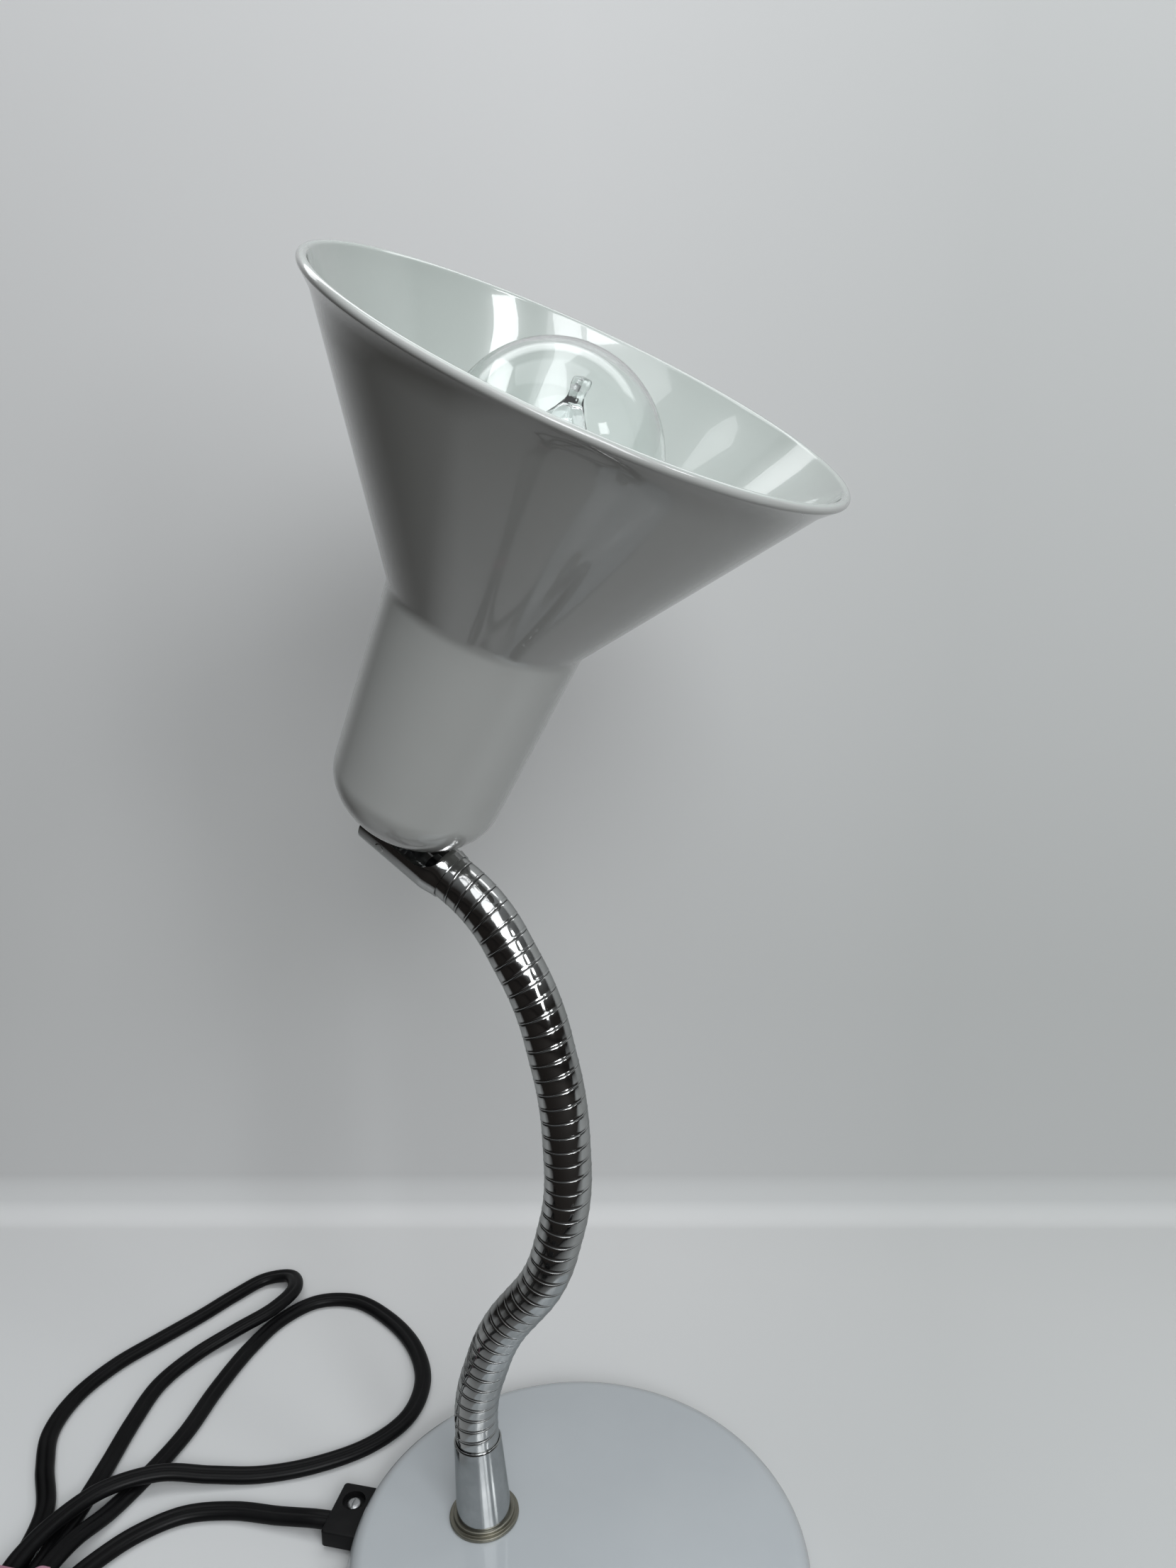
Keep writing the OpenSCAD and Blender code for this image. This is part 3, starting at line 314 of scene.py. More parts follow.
MAT = {}
ENAMEL = {"Coat Weight": 1.0, "Coat Roughness": 0.03, "Specular IOR Level": 0.5}
MAT["white_paint"] = surface(
    "paint_white", (0.64, 0.655, 0.64), (0.60, 0.62, 0.60), (0.16, 0.24), patch=9, fine=420,
    bump_size=0.0004, fixed=ENAMEL, wear=((0.55, 0.55, 0.52), 0.02, 260))[0]
MAT["paint_inside"] = surface(
    "paint_white_inside", (0.61, 0.66, 0.63), (0.57, 0.62, 0.59), (0.14, 0.22), patch=11, fine=420,
    bump_size=0.0004, fixed={**ENAMEL, "Coat Roughness": 0.02}, wear=((0.42, 0.42, 0.38), 0.0, 300))[0]
MAT["paint_base"] = surface(
    "paint_base", (0.66, 0.705, 0.735), (0.62, 0.665, 0.70), (0.13, 0.22), patch=12, fine=380,
    bump_size=0.0004, fixed=ENAMEL, wear=((0.55, 0.57, 0.58), 0.015, 320))[0]


def chrome(name, colour, dull, low, high, groove_shade):
    """Plated metal with cloudy tarnish and brown specks and, when asked, painted shade where the
    attribute
    groove is high: near black and rougher in the winding's grooves. Its edges mirror less than they would
    without the tint."""
    m, t, sh, co, tint, ro = surface(
        name, colour, dull, (low, high), 1.0, patch=55, fine=1500, bump=0.012, bump_size=0.0001,
        fixed={"Specular Tint": (0.62, 0.63, 0.63, 1.0)})
    specks = span(t, noise(t, co, 900, 4.0, 0.75), 0.66, 0.72)
    tint = blend_colour(t, maths(t, "MULTIPLY", specks, 0.6), tint, (0.20, 0.17, 0.13))
    ro = maths(t, "ADD", ro, maths(t, "MULTIPLY", specks, 0.25))
    if groove_shade:
        # Painted shade in the winding's grooves: near black and rougher where the attribute groove is
        # high
        g = put(t, "ShaderNodeAttribute", attribute_name="groove").outputs["Fac"]
        tint = blend_colour(t, g, tint, (0.035, 0.033, 0.03))
        ro = maths(t, "ADD", ro, maths(t, "MULTIPLY", g, 0.35))
    t.links.new(tint, sh.inputs["Base Color"])
    t.links.new(ro, sh.inputs["Roughness"])
    return m


MAT["chrome"] = chrome(
    "chrome_arm", (0.60, 0.61, 0.61), (0.46, 0.46, 0.45), 0.05, 0.16, True)
MAT["chrome_plain"] = chrome(
    "chrome_fittings", (0.62, 0.63, 0.63), (0.50, 0.50, 0.49), 0.04, 0.15, False)
MAT["chrome_worn"] = chrome(
    "chrome_worn", (0.55, 0.56, 0.56), (0.38, 0.39, 0.39), 0.05, 0.16, False)
MAT["nickel"] = surface(
    "nickel_washer", (0.33, 0.32, 0.27), (0.24, 0.23, 0.19), (0.28, 0.48), 1.0, patch=120,
    fine=1400, bump=0.08, wear=((0.15, 0.14, 0.11), 0.08, 700))[0]
MAT["zinc_steel"] = surface(
    "zinc_steel", (0.62, 0.63, 0.64), (0.48, 0.49, 0.50), (0.25, 0.45), 1.0, patch=90,
    fine=1100, bump=0.08)[0]
MAT["cast_iron"] = surface(
    "cast_iron", (0.09, 0.088, 0.085), (0.05, 0.048, 0.046), (0.55, 0.8), 0.6, patch=60,
    fine=420, bump=0.5, bump_size=0.0006)[0]
MAT["felt"] = surface(
    "felt", (0.07, 0.072, 0.075), (0.045, 0.046, 0.05), (0.9, 1.0), patch=150, fine=1700,
    bump=0.7, bump_size=0.0006, fixed={"Sheen Weight": 0.5, "Sheen Roughness": 0.5})[0]
MAT["black_plastic"] = surface(
    "black_plastic", (0.006, 0.006, 0.0065), (0.011, 0.011, 0.0115), (0.36, 0.48), patch=60,
    fine=1300, bump=0.12, fixed={"Specular IOR Level": 0.18}, wear=((0.045, 0.045, 0.043), 0.0, 420))[0]
MAT["black_flex"] = surface(
    "black_flex", (0.004, 0.004, 0.0044), (0.008, 0.008, 0.0085), (0.30, 0.40), patch=40,
    fine=700, bump=0.06, fixed={"Specular IOR Level": 0.15}, wear=((0.04, 0.04, 0.04), -0.01, 380))[0]
MAT["brass"] = surface(
    "brass", (0.60, 0.44, 0.20), (0.44, 0.31, 0.13), (0.25, 0.4), 1.0, patch=110, fine=1200,
    bump=0.06)[0]
MAT["porcelain"] = surface(
    "porcelain", (0.82, 0.80, 0.74), (0.76, 0.73, 0.66), (0.18, 0.28), patch=60, fine=600)[0]
MAT["bulb_metal"] = surface(
    "bulb_metal", (0.70, 0.70, 0.69), (0.55, 0.55, 0.54), (0.25, 0.4), 1.0, patch=120,
    fine=1500, bump=0.08)[0]
MAT["black_glass"] = surface(
    "black_glass", (0.012, 0.012, 0.016), (0.02, 0.02, 0.024), (0.08, 0.16), patch=80, fine=600,
    bump=0.04)[0]
MAT["tie_plastic"] = surface(
    "tie", (0.48, 0.24, 0.32), (0.40, 0.19, 0.26), (0.42, 0.55), patch=200, fine=1500, bump=0.15)[0]
MAT["plug_metal"], t, sh, co, tint, ro = surface(
    "plug_metal", (0.66, 0.65, 0.62), (0.52, 0.51, 0.48), (0.2, 0.35), 1.0, patch=110,
    fine=1400)
# The pins are sleeved in black up to 9.8 mm from the plug's face
SLEEVE_END = 0.1158
along = put(t, "ShaderNodeSeparateXYZ", {"Vector": co}).outputs[0]
sleeve = span(t, along, SLEEVE_END, SLEEVE_END + 0.0001, 1.0, 0.0)
t.links.new(blend_colour(t, sleeve, tint, (0.012, 0.012, 0.013)), sh.inputs["Base Color"])
t.links.new(maths(t, "SUBTRACT", 1.0, sleeve), sh.inputs["Metallic"])


def glass(name, ior, colour, dust):
    """Clear glass with slow waves in it and a thin film of dust in places."""
    mat, t, s, co = new_material(name, {
        "Base Color": (*colour, 1), "Transmission Weight": 1, "IOR": ior})
    film = span(t, noise(t, co, 60, 4.0, 0.6), 0.45, 0.8, 0.0, dust)
    t.links.new(film, s.inputs["Roughness"])
    b = put(t, "ShaderNodeBump", {"Height": noise(t, co, 45, 2.0, 0.5), "Strength": 0.04,
                                  "Distance": 0.001})
    t.links.new(b.outputs[0], s.inputs["Normal"])
    return mat


MAT["bulb_glass"] = glass("bulb_glass", 1.3, (0.97, 0.985, 0.98), 0.03)
MAT["capsule_glass"] = glass("capsule_glass", 1.3, (0.93, 0.95, 0.95), 0.02)

# Every CAD node that stays in view takes the finish of its slot
slot_of = {s["node"]: s["material_slot"] for s in frame["record"]["subparts"]}
SAME = {"chrome": "chrome_plain", "white_paint": "paint_base"}
for node, ob in frame["nodes"].items():
    ob.data.materials.clear()
    ob.data.materials.append(MAT[SAME.get(slot_of[node], slot_of[node])])


# ---------- the flex on the desk ----------

FLEX_WIDE, FLEX_THICK = 7.0, 4.2
# From the block the flex runs by LEAD to the hank, then FOLD_1, the LARGE loop, FOLD_2, the SMALL
# loop, the hank's MIDDLE run and the TAIL to the switch. PLUG_LEAD goes on from there to the plug.
LEAD = [
    (-92, -2.5, 5.1), (-98, -2.8, 5), (-112, -3, 3.4), (-130, -3.5, 2.3), (-147, -9, 2.2),
    (-159, -20, 2.2), (-166, -32, 2.5), (-170, -44, 3.1), (-171, -62, 3.1)]
LARGE = [
    (-188, -62, 7.6), (-190, -42, 7.6), (-187, -25, 7.4), (-179, -9, 7.2), (-163, 3, 6.4),
    (-146, 8.5, 3.8), (-128, 14, 2.2), (-109, 23, 2.2), (-92, 37, 2.2), (-83, 54, 2.2),
    (-84, 74, 2.2), (-95, 93, 2.2), (-113, 108, 2.2), (-132, 116, 2.2), (-149, 112, 2.2),
    (-160, 97, 2.2), (-165, 77, 2.2), (-167, 52, 2.2), (-167, 26, 2.2), (-170, 5, 2.2),
    (-174, -14, 2.7), (-177, -30, 6.2), (-178, -44, 7.6), (-178, -62, 7.6)]
SMALL = [
    (-191, -62, 3.1), (-192, -40, 3.1), (-198, -18, 2.3), (-211, 0, 2.2), (-220, 16, 2.2),
    (-222, 35, 2.2), (-217, 55, 2.2), (-207, 74, 2.2), (-197, 92, 2.2), (-189, 108, 2.3),
    (-180, 121, 3), (-168, 123, 5), (-161, 113, 6.8), (-164, 98, 6.8), (-175, 83, 5), (-186, 68, 2.6),
    (-192, 49, 2.2), (-191, 28, 2.2), (-188, 6, 2.2), (-186, -12, 2.2), (-185, -28, 2.5),
    (-184, -42, 3.1), (-184, -62, 3.1)]
TAIL = [
    (-165, -147, 10.9), (-157, -152.5, 9.9), (-149, -156.5, 6), (-138, -158.5, 2.8),
    (-126, -156, 2.4), (-115, -150, 3.4), (-106, -146, 6.6), (-103, -146, 7), (-100, -146, 7)]
PLUG_LEAD = [
    (-38, -146, 7), (-35, -146, 7), (-22, -146, 3.8), (-7, -146, 2.4), (12, -146, 2.4),
    (30, -146, 3.4), (43, -146, 6.8), (46, -146, 6.8)]


def fold(cx, cy, r, z):
    """The end of the hank: half a turn from the right run to the left one."""
    return [(x, y, z) for x, y in arc(cx, cy, r, range(0, -181, -30))]


FOLD_1 = ([(-169, -79, 3), (-165, -96, 2.7), (-161.5, -113, 2.4), (-159, -128, 2.3)]
          + fold(-177.5, -140, 19, 2.3)
          + [(-196.3, -129, 2.3), (-194.5, -118, 2.4), (-192.8, -107, 4.2), (-191.5, -96, 6.6),
             (-189.5, -79, 7.4)])
FOLD_2 = ([(-176, -79, 7.6), (-171, -96, 7.3), (-165.5, -113, 6.9), (-161.5, -128, 6.7)]
          + fold(-181.75, -139, 21.75, 6.7)
          + [(-203.5, -129, 6.7), (-203, -118, 6.2), (-202, -107, 4.4), (-200, -96, 2.6),
             (-195, -79, 2.5)])
MIDDLE = [
    (-182, -79, 2.5), (-180, -95, 2.3), (-178, -108, 2.6), (-175.5, -119, 4.6), (-172.5, -128, 7.6),
    (-169.5, -137, 10.2)]


def through(route, step=1.6):
    """Points close together on a smooth curve through a route, centripetal so that it never loops."""
    p = [vec(*q) for q in route]
    p = [2 * p[0] - p[1]] + p + [2 * p[-1] - p[-2]]
    out = []
    for a, b, c, d in zip(p, p[1:], p[2:], p[3:]):
        pieces = max(2, round(np.linalg.norm(c - b) / step))
        ta = 0.0
        tb = ta + max(np.linalg.norm(b - a), 1e-6) ** 0.5
        tc = tb + max(np.linalg.norm(c - b), 1e-6) ** 0.5
        td = tc + max(np.linalg.norm(d - c), 1e-6) ** 0.5
        for k in range(pieces):
            u = tb + (tc - tb) * k / pieces
            a1 = (tb - u) / (tb - ta) * a + (u - ta) / (tb - ta) * b
            a2 = (tc - u) / (tc - tb) * b + (u - tb) / (tc - tb) * c
            a3 = (td - u) / (td - tc) * c + (u - tc) / (td - tc) * d
            b1 = (tc - u) / (tc - ta) * a1 + (u - ta) / (tc - ta) * a2
            b2 = (td - u) / (td - tb) * a2 + (u - tb) / (td - tb) * a3
            out.append((tc - u) / (tc - tb) * b1 + (u - tb) / (tc - tb) * b2)
    out.append(p[-2])
    return np.array(out)


def directions(line):
    """Unit directions along a line of points."""
    t = np.gradient(line, axis=0)
    return t / np.linalg.norm(t, axis=1)[:, None]


def twin_outline(width, thick):
    """Two round cores side by side, with the shallow valley between them."""
    r, half = thick / 2, (width - thick) / 2
    valley = math.degrees(math.acos(half / r)) + 8
    right = arc(half, 0, r, np.linspace(valley - 180, 180 - valley, 18))
    return right + [(-x, -y) for x, y in right]


def flat_cord(name, route):
    """A flat flex that lies flat all along its route, with its middle line and length in metres."""
    line = through(route)
    t = directions(line)
    side = np.cross(t, (0, 0, 1))
    side /= np.linalg.norm(side, axis=1)[:, None]
    top = np.cross(side, t)
    shape = twin_outline(FLEX_WIDE, FLEX_THICK)
    rings = [[p + x * s + y * u for x, y in shape] for p, s, u in zip(line, side, top)]
    ob = new_object(name, *loft(rings), MAT["black_flex"], sharp=50)
    length = float(np.linalg.norm(np.diff(line, axis=0), axis=1).sum()) * MM
    return ob, line * MM, length


flex, flex_line, flex_length = flat_cord(
    "flex_run", LEAD + FOLD_1 + LARGE + FOLD_2 + SMALL + MIDDLE + TAIL)
give(flex, "base", "black_flex", "free_flex", "flex_hank")
lead, lead_line, lead_length = flat_cord("flex_plug_lead", PLUG_LEAD)
give(lead, "base", "black_flex")


# ---------- places along the arm and in the head ----------

BASE_R, BASE_H, DOME_R, SHOULDER_R, COVER_T = 80.0, 18.4, 600.0, 7.0, 1.2
FOOT_R, FERRULE_TOP, SOCKET, ARM_R, BORE_R = 34.0, 32.0, 19, 7.4, 5.1
# Each section of the arm is straight at its start and end, and an arc between them
SECTION, START, END = 32.3, 3.5, 6.5
ARC = SECTION - START - END
# Compass direction of the plane that the arm is bent in, and the slope of each section's end
BEND_PLANE, SLOPES = -14, (72, 54, 76, 93, 105, 122, 148)
FORK_ROLL, HEAD_TILT = 2.8, 4.5


def dome_z(r):
    """Height of the cover's dome at a distance from its middle."""
    return BASE_H - (DOME_R - math.sqrt(DOME_R ** 2 - r * r))


lean = math.asin(FOOT_R / DOME_R)
foot_point = vec(-FOOT_R, 0, dome_z(FOOT_R))
foot_dir = vec(-math.sin(lean), 0, math.cos(lean))
FOOT = axes(foot_point, vec(math.cos(lean), 0, math.sin(lean)), foot_dir)
plane = math.radians(BEND_PLANE)
plane_x, plane_y = vec(math.cos(plane), math.sin(plane), 0), vec(-math.sin(plane), math.cos(plane), 0)
up = vec(0, 0, 1)
dirs = [foot_dir] + [math.cos(math.radians(a)) * plane_x + math.sin(math.radians(a)) * up
                     for a in SLOPES]


def arm_curve(step=0.25):
    """Points, directions and distances along the arm's axis from inside the ferrule on, the places
    where it bends, and its end."""
    p, s, bends = foot_point + FERRULE_TOP * foot_dir, 0.0, []
    rows = [(p + k * foot_dir, foot_dir, k) for k in np.arange(-SOCKET, 0, step)]
    for i in range(7):
        a, b = dirs[i], dirs[i + 1]
        turn = math.acos(float(np.clip(a @ b, -1, 1)))
        side = unit(b - (a @ b) * a)
        r = ARC / turn
        full_arc = r * (math.sin(turn) * a + (1 - math.cos(turn)) * side)
        bends.append(p.copy())
        for k in np.arange(0, SECTION, step):
            if k < START:
                q, d = p + k * a, a
            elif k < START + ARC:
                w = (k - START) / r
                q = p + START * a + r * (math.sin(w) * a + (1 - math.cos(w)) * side)
                d = math.cos(w) * a + math.sin(w) * side
            else:
                q, d = p + START * a + full_arc + (k - START - ARC) * b, b
            rows.append((q, d, s + k))
        p = p + START * a + END * b + full_arc
        s += SECTION
    rows.append((p, dirs[7], s))
    return *(np.array(column) for column in zip(*rows)), bends, p


axis_p, axis_t, axis_s, bends, arm_end = arm_curve()
# A frame carried along the axis without twisting
normal = [vec(1, 0, 0)]
for d in axis_t:
    v = normal[-1] - (normal[-1] @ d) * d
    normal.append(unit(v))
axis_n = np.array(normal[1:])
axis_b = np.cross(axis_t, axis_n)

fork_z = dirs[7]
fork_x0 = np.cross(plane_y, fork_z)
roll = math.radians(FORK_ROLL)
fork_x = math.cos(roll) * fork_x0 - math.sin(roll) * plane_y
fork_y = np.cross(fork_z, fork_x)
FORK = axes(arm_end, fork_x, fork_z)
PIN_ALONG, PIN_DROP, FORK_OUT, FORK_IN, FORK_PAST = 19.8, 3.4, 8.7, 7.7, 8.9
pin_point = arm_end + PIN_ALONG * fork_z - PIN_DROP * fork_x
tilt = math.radians(HEAD_TILT)
head_z = math.cos(tilt) * fork_x + math.sin(tilt) * fork_z
head_x = np.cross(fork_y, head_z)
HEAD = axes(pin_point, head_x, head_z)


# ---------- flexible arm ----------

# One turn of the winding: distance along the arm, height over the tube, and painted shade, darkest at the
# bottom of the groove
TURN = [(0.00, -0.26, 1.0), (0.09, -0.08, 0.6), (0.18, 0.05, 0.0), (0.32, 0.11, 0.0),
        (0.52, 0.11, 0.0), (0.68, 0.05, 0.0), (0.84, 0.01, 0.2), (1.20, 0.02, 0.0),
        (1.80, 0.032, 0.0), (2.60, 0.038, 0.0), (3.40, 0.032, 0.0), (4.20, 0.015, 0.0),
        (4.50, -0.02, 0.1), (4.61, -0.10, 0.6)]
ROWS, COLS, PITCH = len(TURN), 112, 4.7
# Where the first turn starts, inside the ferrule, and a half length about each bending point
FIRST_S, BEND_HALF = -9.4, 10
# How far welding may move a point
WELD = 0.002


def winding(name, row_a, row_b):
    """The helical winding between two of its rows."""
    pts, painted_groove_shade = [], []
    for j in range(COLS + 1):
        a = 2 * math.pi * j / COLS
        for q in range(row_a, row_b + 1):
            along, high, groove_shade = TURN[q % ROWS]
            s = FIRST_S + PITCH * (q // ROWS + j / COLS) + along
            s = min(s, axis_s[-1])
            c, nn, bb = (np.array([np.interp(s, axis_s, arr[:, k]) for k in range(3)])
                         for arr in (axis_p, axis_n, axis_b))
            pts.append(c + (ARM_R + high) * (math.cos(a) * unit(nn) + math.sin(a) * unit(bb)))
            painted_groove_shade.append(groove_shade)
    mesh_pts = np.array(pts)
    ob = new_object(name, mesh_pts, grid(COLS + 1, row_b - row_a + 1), MAT["chrome"], merge=1e-6)
    # Welding reorders the points, so each takes the painted groove shade of the nearest one before it
    order = np.argsort(mesh_pts[:, 0])
    xs = mesh_pts[order, 0]
    groove = np.zeros(len(ob.data.vertices), np.float32)
    for i, v in enumerate(ob.data.vertices):
        p = np.array(v.co, float) / MM
        first, last = np.searchsorted(xs, (p[0] - WELD, p[0] + WELD))
        near = order[first:last]
        groove[i] = painted_groove_shade[near[np.argmin(((mesh_pts[near] - p) ** 2).sum(1))]]
    ob.data.attributes.new("groove", "FLOAT", "POINT").data.foreach_set("value", groove)
    return ob


def row_at(s):
    """The row at the bottom of the groove nearest to a distance along the arm."""
    return round((s - PITCH / 2 - FIRST_S) / PITCH) * ROWS


# Pieces are cut midway between bending points, so each one but the first and last holds a bend
cuts = [0] + [row_at(SECTION * k + SECTION / 2) for k in range(7)]
cuts.append(int(math.floor((axis_s[-1] - FIRST_S) / PITCH)) * ROWS)
for k in range(8):
    ob = winding(f"arm_winding_{k + 1}", cuts[k], cuts[k + 1])
    if k == 0:
        give(ob, "base", "chrome", "neck_section_1")
    elif k == 7:
        give(ob, "neck_7", "chrome", "neck_section_7")
    else:
        mid, reach = bends[k], BEND_HALF * dirs[k]
        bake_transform(ob)
        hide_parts(f"neck_section_{k + 1}")


# ---------- fork, ferrule and washer ----------

COLLAR_LOW, COLLAR_NARROWS, WEB_LOW = -2.5, 0.85, -0.2
# The half pipe opens in a quarter circle over its web, up to a little past its middle
OPEN_R, OPEN_X, OPEN_FULL = 9, 0.7, 8.8


def fork_ring(z, n=40):
    """One cross-section of the half pipe: outer face, rounded edge, inner face, rounded edge.
    Its collar narrows towards the arm and is closed all round."""
    r_out = FORK_OUT - COLLAR_NARROWS * (1 - smooth_step(COLLAR_LOW, 3.5, z))
    r_in = FORK_IN - 0.2 * (z <= WEB_LOW)
    if z > OPEN_FULL:
        edge_x = OPEN_X
    elif z <= WEB_LOW:
        edge_x = r_out
    else:
        edge_x = OPEN_X + OPEN_R - math.sqrt(max(0.0, OPEN_R ** 2 - (z - OPEN_FULL) ** 2))
    a_out, a_in = math.acos(min(1.0, edge_x / r_out)), math.acos(min(1.0, edge_x / r_in))
    outer = [a_out + (2 * math.pi - 2 * a_out) * k / n for k in range(n + 1)]
    inner = [a_in + (2 * math.pi - 2 * a_in) * k / n for k in range(n, -1, -1)]
    outer = [vec(r_out * math.cos(a), r_out * math.sin(a)) for a in outer]
    inner = [vec(r_in * math.cos(a), r_in * math.sin(a)) for a in inner]
    pts = outer + [outer[-1] * 0.75 + inner[0] * 0.25, outer[-1] * 0.25 + inner[0] * 0.75]
    pts += inner + [inner[-1] * 0.75 + outer[0] * 0.25, inner[-1] * 0.25 + outer[0] * 0.75]
    return [(x, y, z) for x, y in pts]


fork_len = PIN_ALONG + FORK_PAST
zs = [COLLAR_LOW, -2.4, -1.5, -0.5, WEB_LOW, 12, 16, 20, 24, 27, fork_len - 0.15, fork_len]
zs += [WEB_LOW + OPEN_R * (1 - math.cos(math.radians(a))) for a in range(6, 91, 6)]
zs = sorted(set(round(z, 4) for z in zs))
fork = new_object("fork", *loft([fork_ring(z) for z in zs]), MAT["chrome_plain"], FORK, sharp=40)
give(fork, "neck_7", "chrome", "swivel_fork")
WEB_BORE, WEB_R, WEB_T = 4.3, FORK_IN + 0.1, 1.6
profile = soften([(WEB_BORE, 0), (WEB_R, 0), (WEB_R, WEB_T), (WEB_BORE, WEB_T)], 0.2, closed=True)
web = new_object("fork_web", *lathe(profile, 96, closed=True), MAT["chrome_plain"], FORK)
give(web, "neck_7", "chrome")

# The pin's riveted ends follow the fork's outer faces and are rounded at their edges
PIN_R, PIN_EDGE = 1.8, 0.12
rings = []
for end, shares in ((-1, (0.25, 0.6, 0.9, 1.0)), (1, (1.0, 0.9, 0.6, 0.25))):
    for share in shares:
        ring = []
        for a in np.linspace(0, 2 * math.pi, 32, endpoint=False):
            x = -PIN_DROP + share * PIN_R * math.cos(a)
            face = math.sqrt(FORK_OUT ** 2 - x * x) - (PIN_EDGE if share == 1.0 else 0.0)
            ring.append((x, end * face, PIN_ALONG + share * PIN_R * math.sin(a)))
        rings.append(ring)
pin = new_object("fork_pin", *loft(rings), MAT["chrome_plain"], FORK, sharp=60)
give(pin, "neck_7", "chrome", "swivel_pin")

STEP, WASHER_R, STEP_R = 1.3, 12.2, 10.7
profile = soften([(9.6, 2 * STEP), (8.2, FERRULE_TOP - 0.5), (7.95, FERRULE_TOP), (7.6, FERRULE_TOP),
                  (7.5, FERRULE_TOP - 0.5), (7.5, 13.1), (BORE_R, 13.1), (BORE_R, 2 * STEP)],
                 [0.25, 0.3, 0.2, 0.1, 0.1, 0.1, 0.1, 0.1], closed=True)
ferrule = new_object("ferrule", *lathe(profile, 144, closed=True), MAT["chrome_worn"], FOOT)
give(ferrule, "base", "chrome", "neck_ferrule")
bore = BORE_R + 0.05
profile = soften([(bore, 0.02), (WASHER_R, 0.02), (WASHER_R, STEP), (STEP_R, STEP),
                  (STEP_R, 2 * STEP), (bore, 2 * STEP)], [0.05, 0.25, 0.35, 0.2, 0.4, 0.1], closed=True)
washer = new_object("stepped_washer", *lathe(profile, 144, closed=True), MAT["nickel"], FOOT)
give(washer, "base", "nickel", "neck_washer")


# ---------- shade ----------

SEAT, SHADE_LEN, CONE_LEN, RIM_R, SHADE_T, BEAD = 4.4, 150.0, 72.0, 75.0, 0.9, 1.3
NECK_TOP, NECK_END, DOME_LEN, CORNER = 29.6, 26.4, 20.0, 9.0
rim_z = SEAT + SHADE_LEN
junction_z = rim_z - CONE_LEN
dome_top = SEAT + DOME_LEN
cone_slope = math.atan2(RIM_R - BEAD - NECK_TOP, CONE_LEN)
neck_slope = math.atan2(NECK_TOP - NECK_END, junction_z - dome_top)
# The corner between neck and cone is an arc about mid
back = CORNER * math.tan((cone_slope - neck_slope) / 2)
mid = (NECK_TOP - back * math.sin(neck_slope) + CORNER * math.cos(neck_slope),
       junction_z - back * math.cos(neck_slope) - CORNER * math.sin(neck_slope))
# The dome starts at the hole for the stud
HOLE_ANGLE = 11.1


def between(a, b, n):
    """The n - 1 points that divide a line into n."""
    return [(a[0] + (b[0] - a[0]) * k / n, a[1] + (b[1] - a[1]) * k / n) for k in range(1, n)]


outer = [(NECK_END * math.sin(math.radians(a)), SEAT + DOME_LEN * (1 - math.cos(math.radians(a))))
         for a in np.linspace(HOLE_ANGLE, 90, 26)]
outer += between((NECK_END, dome_top), (NECK_TOP, junction_z), 8)
outer += [(mid[0] + CORNER * math.cos(a), mid[1] + CORNER * math.sin(a))
          for a in np.linspace(math.pi - neck_slope, math.pi - cone_slope, 9)]
rim = (RIM_R - BEAD, rim_z - BEAD)
along_cone = unit(vec(rim[0] - outer[-1][0], rim[1] - outer[-1][1]))
outer += between(outer[-1], rim, 14)
inner = []
for k, q in enumerate(outer):
    a, b = vec(*outer[max(k - 1, 0)]), vec(*outer[min(k + 1, len(outer) - 1)])
    d = unit(b - a)
    inner.append((max(q[0] - SHADE_T * d[1], BORE_R), q[1] + SHADE_T * d[0]))
# The rolled rim runs from a little below the wall's outside, over the top, to its inside
across = math.atan2(-along_cone[0], along_cone[1])
bead = [(rim[0] + BEAD * math.cos(a), rim[1] + BEAD * math.sin(a))
        for a in np.linspace(across - 0.55, across + math.pi + 0.25, 17)]
loop = outer + bead + inner[::-1]
SHADE_STEPS = 288
pts, faces = lathe(loop, SHADE_STEPS, closed=True)
outside = len(outer) + len(bead) // 2
index = [0 if i < outside else 1 for i in range(len(loop))] * SHADE_STEPS
shade = new_object("shade_shell", pts, faces, [MAT["white_paint"], MAT["paint_inside"]], HEAD, index)
give(shade, "head", "white_paint", "shade")


# ---------- base cover ----------

SKIRT_LOW, COVER_STEPS = 1.4, 320
NOTCH_X, NOTCH_Y, NOTCH_HALF, NOTCH_TOP = -76.5, 0.8, 11.5, 8.5
shoulder_x = BASE_R - SHOULDER_R
shoulder_z = dome_z(shoulder_x) - SHOULDER_R
shoulder_end = math.degrees(math.atan2(DOME_R - (BASE_H - dome_z(shoulder_x)), shoulder_x))


def cover_line(inset):
    """The cover's section from its skirt to its middle, drawn in by inset."""
    pts = [(BASE_R - inset, z) for z in (SKIRT_LOW, 1.6, 3.0, 5.0)]
    pts += arc(shoulder_x, shoulder_z, SHOULDER_R - inset, np.linspace(0, shoulder_end, 16))
    pts += [(r, dome_z(r) - inset) for r in np.linspace(shoulder_x - 2, 2, 34)]
    return pts + [(0.0, dome_z(0) - inset)]


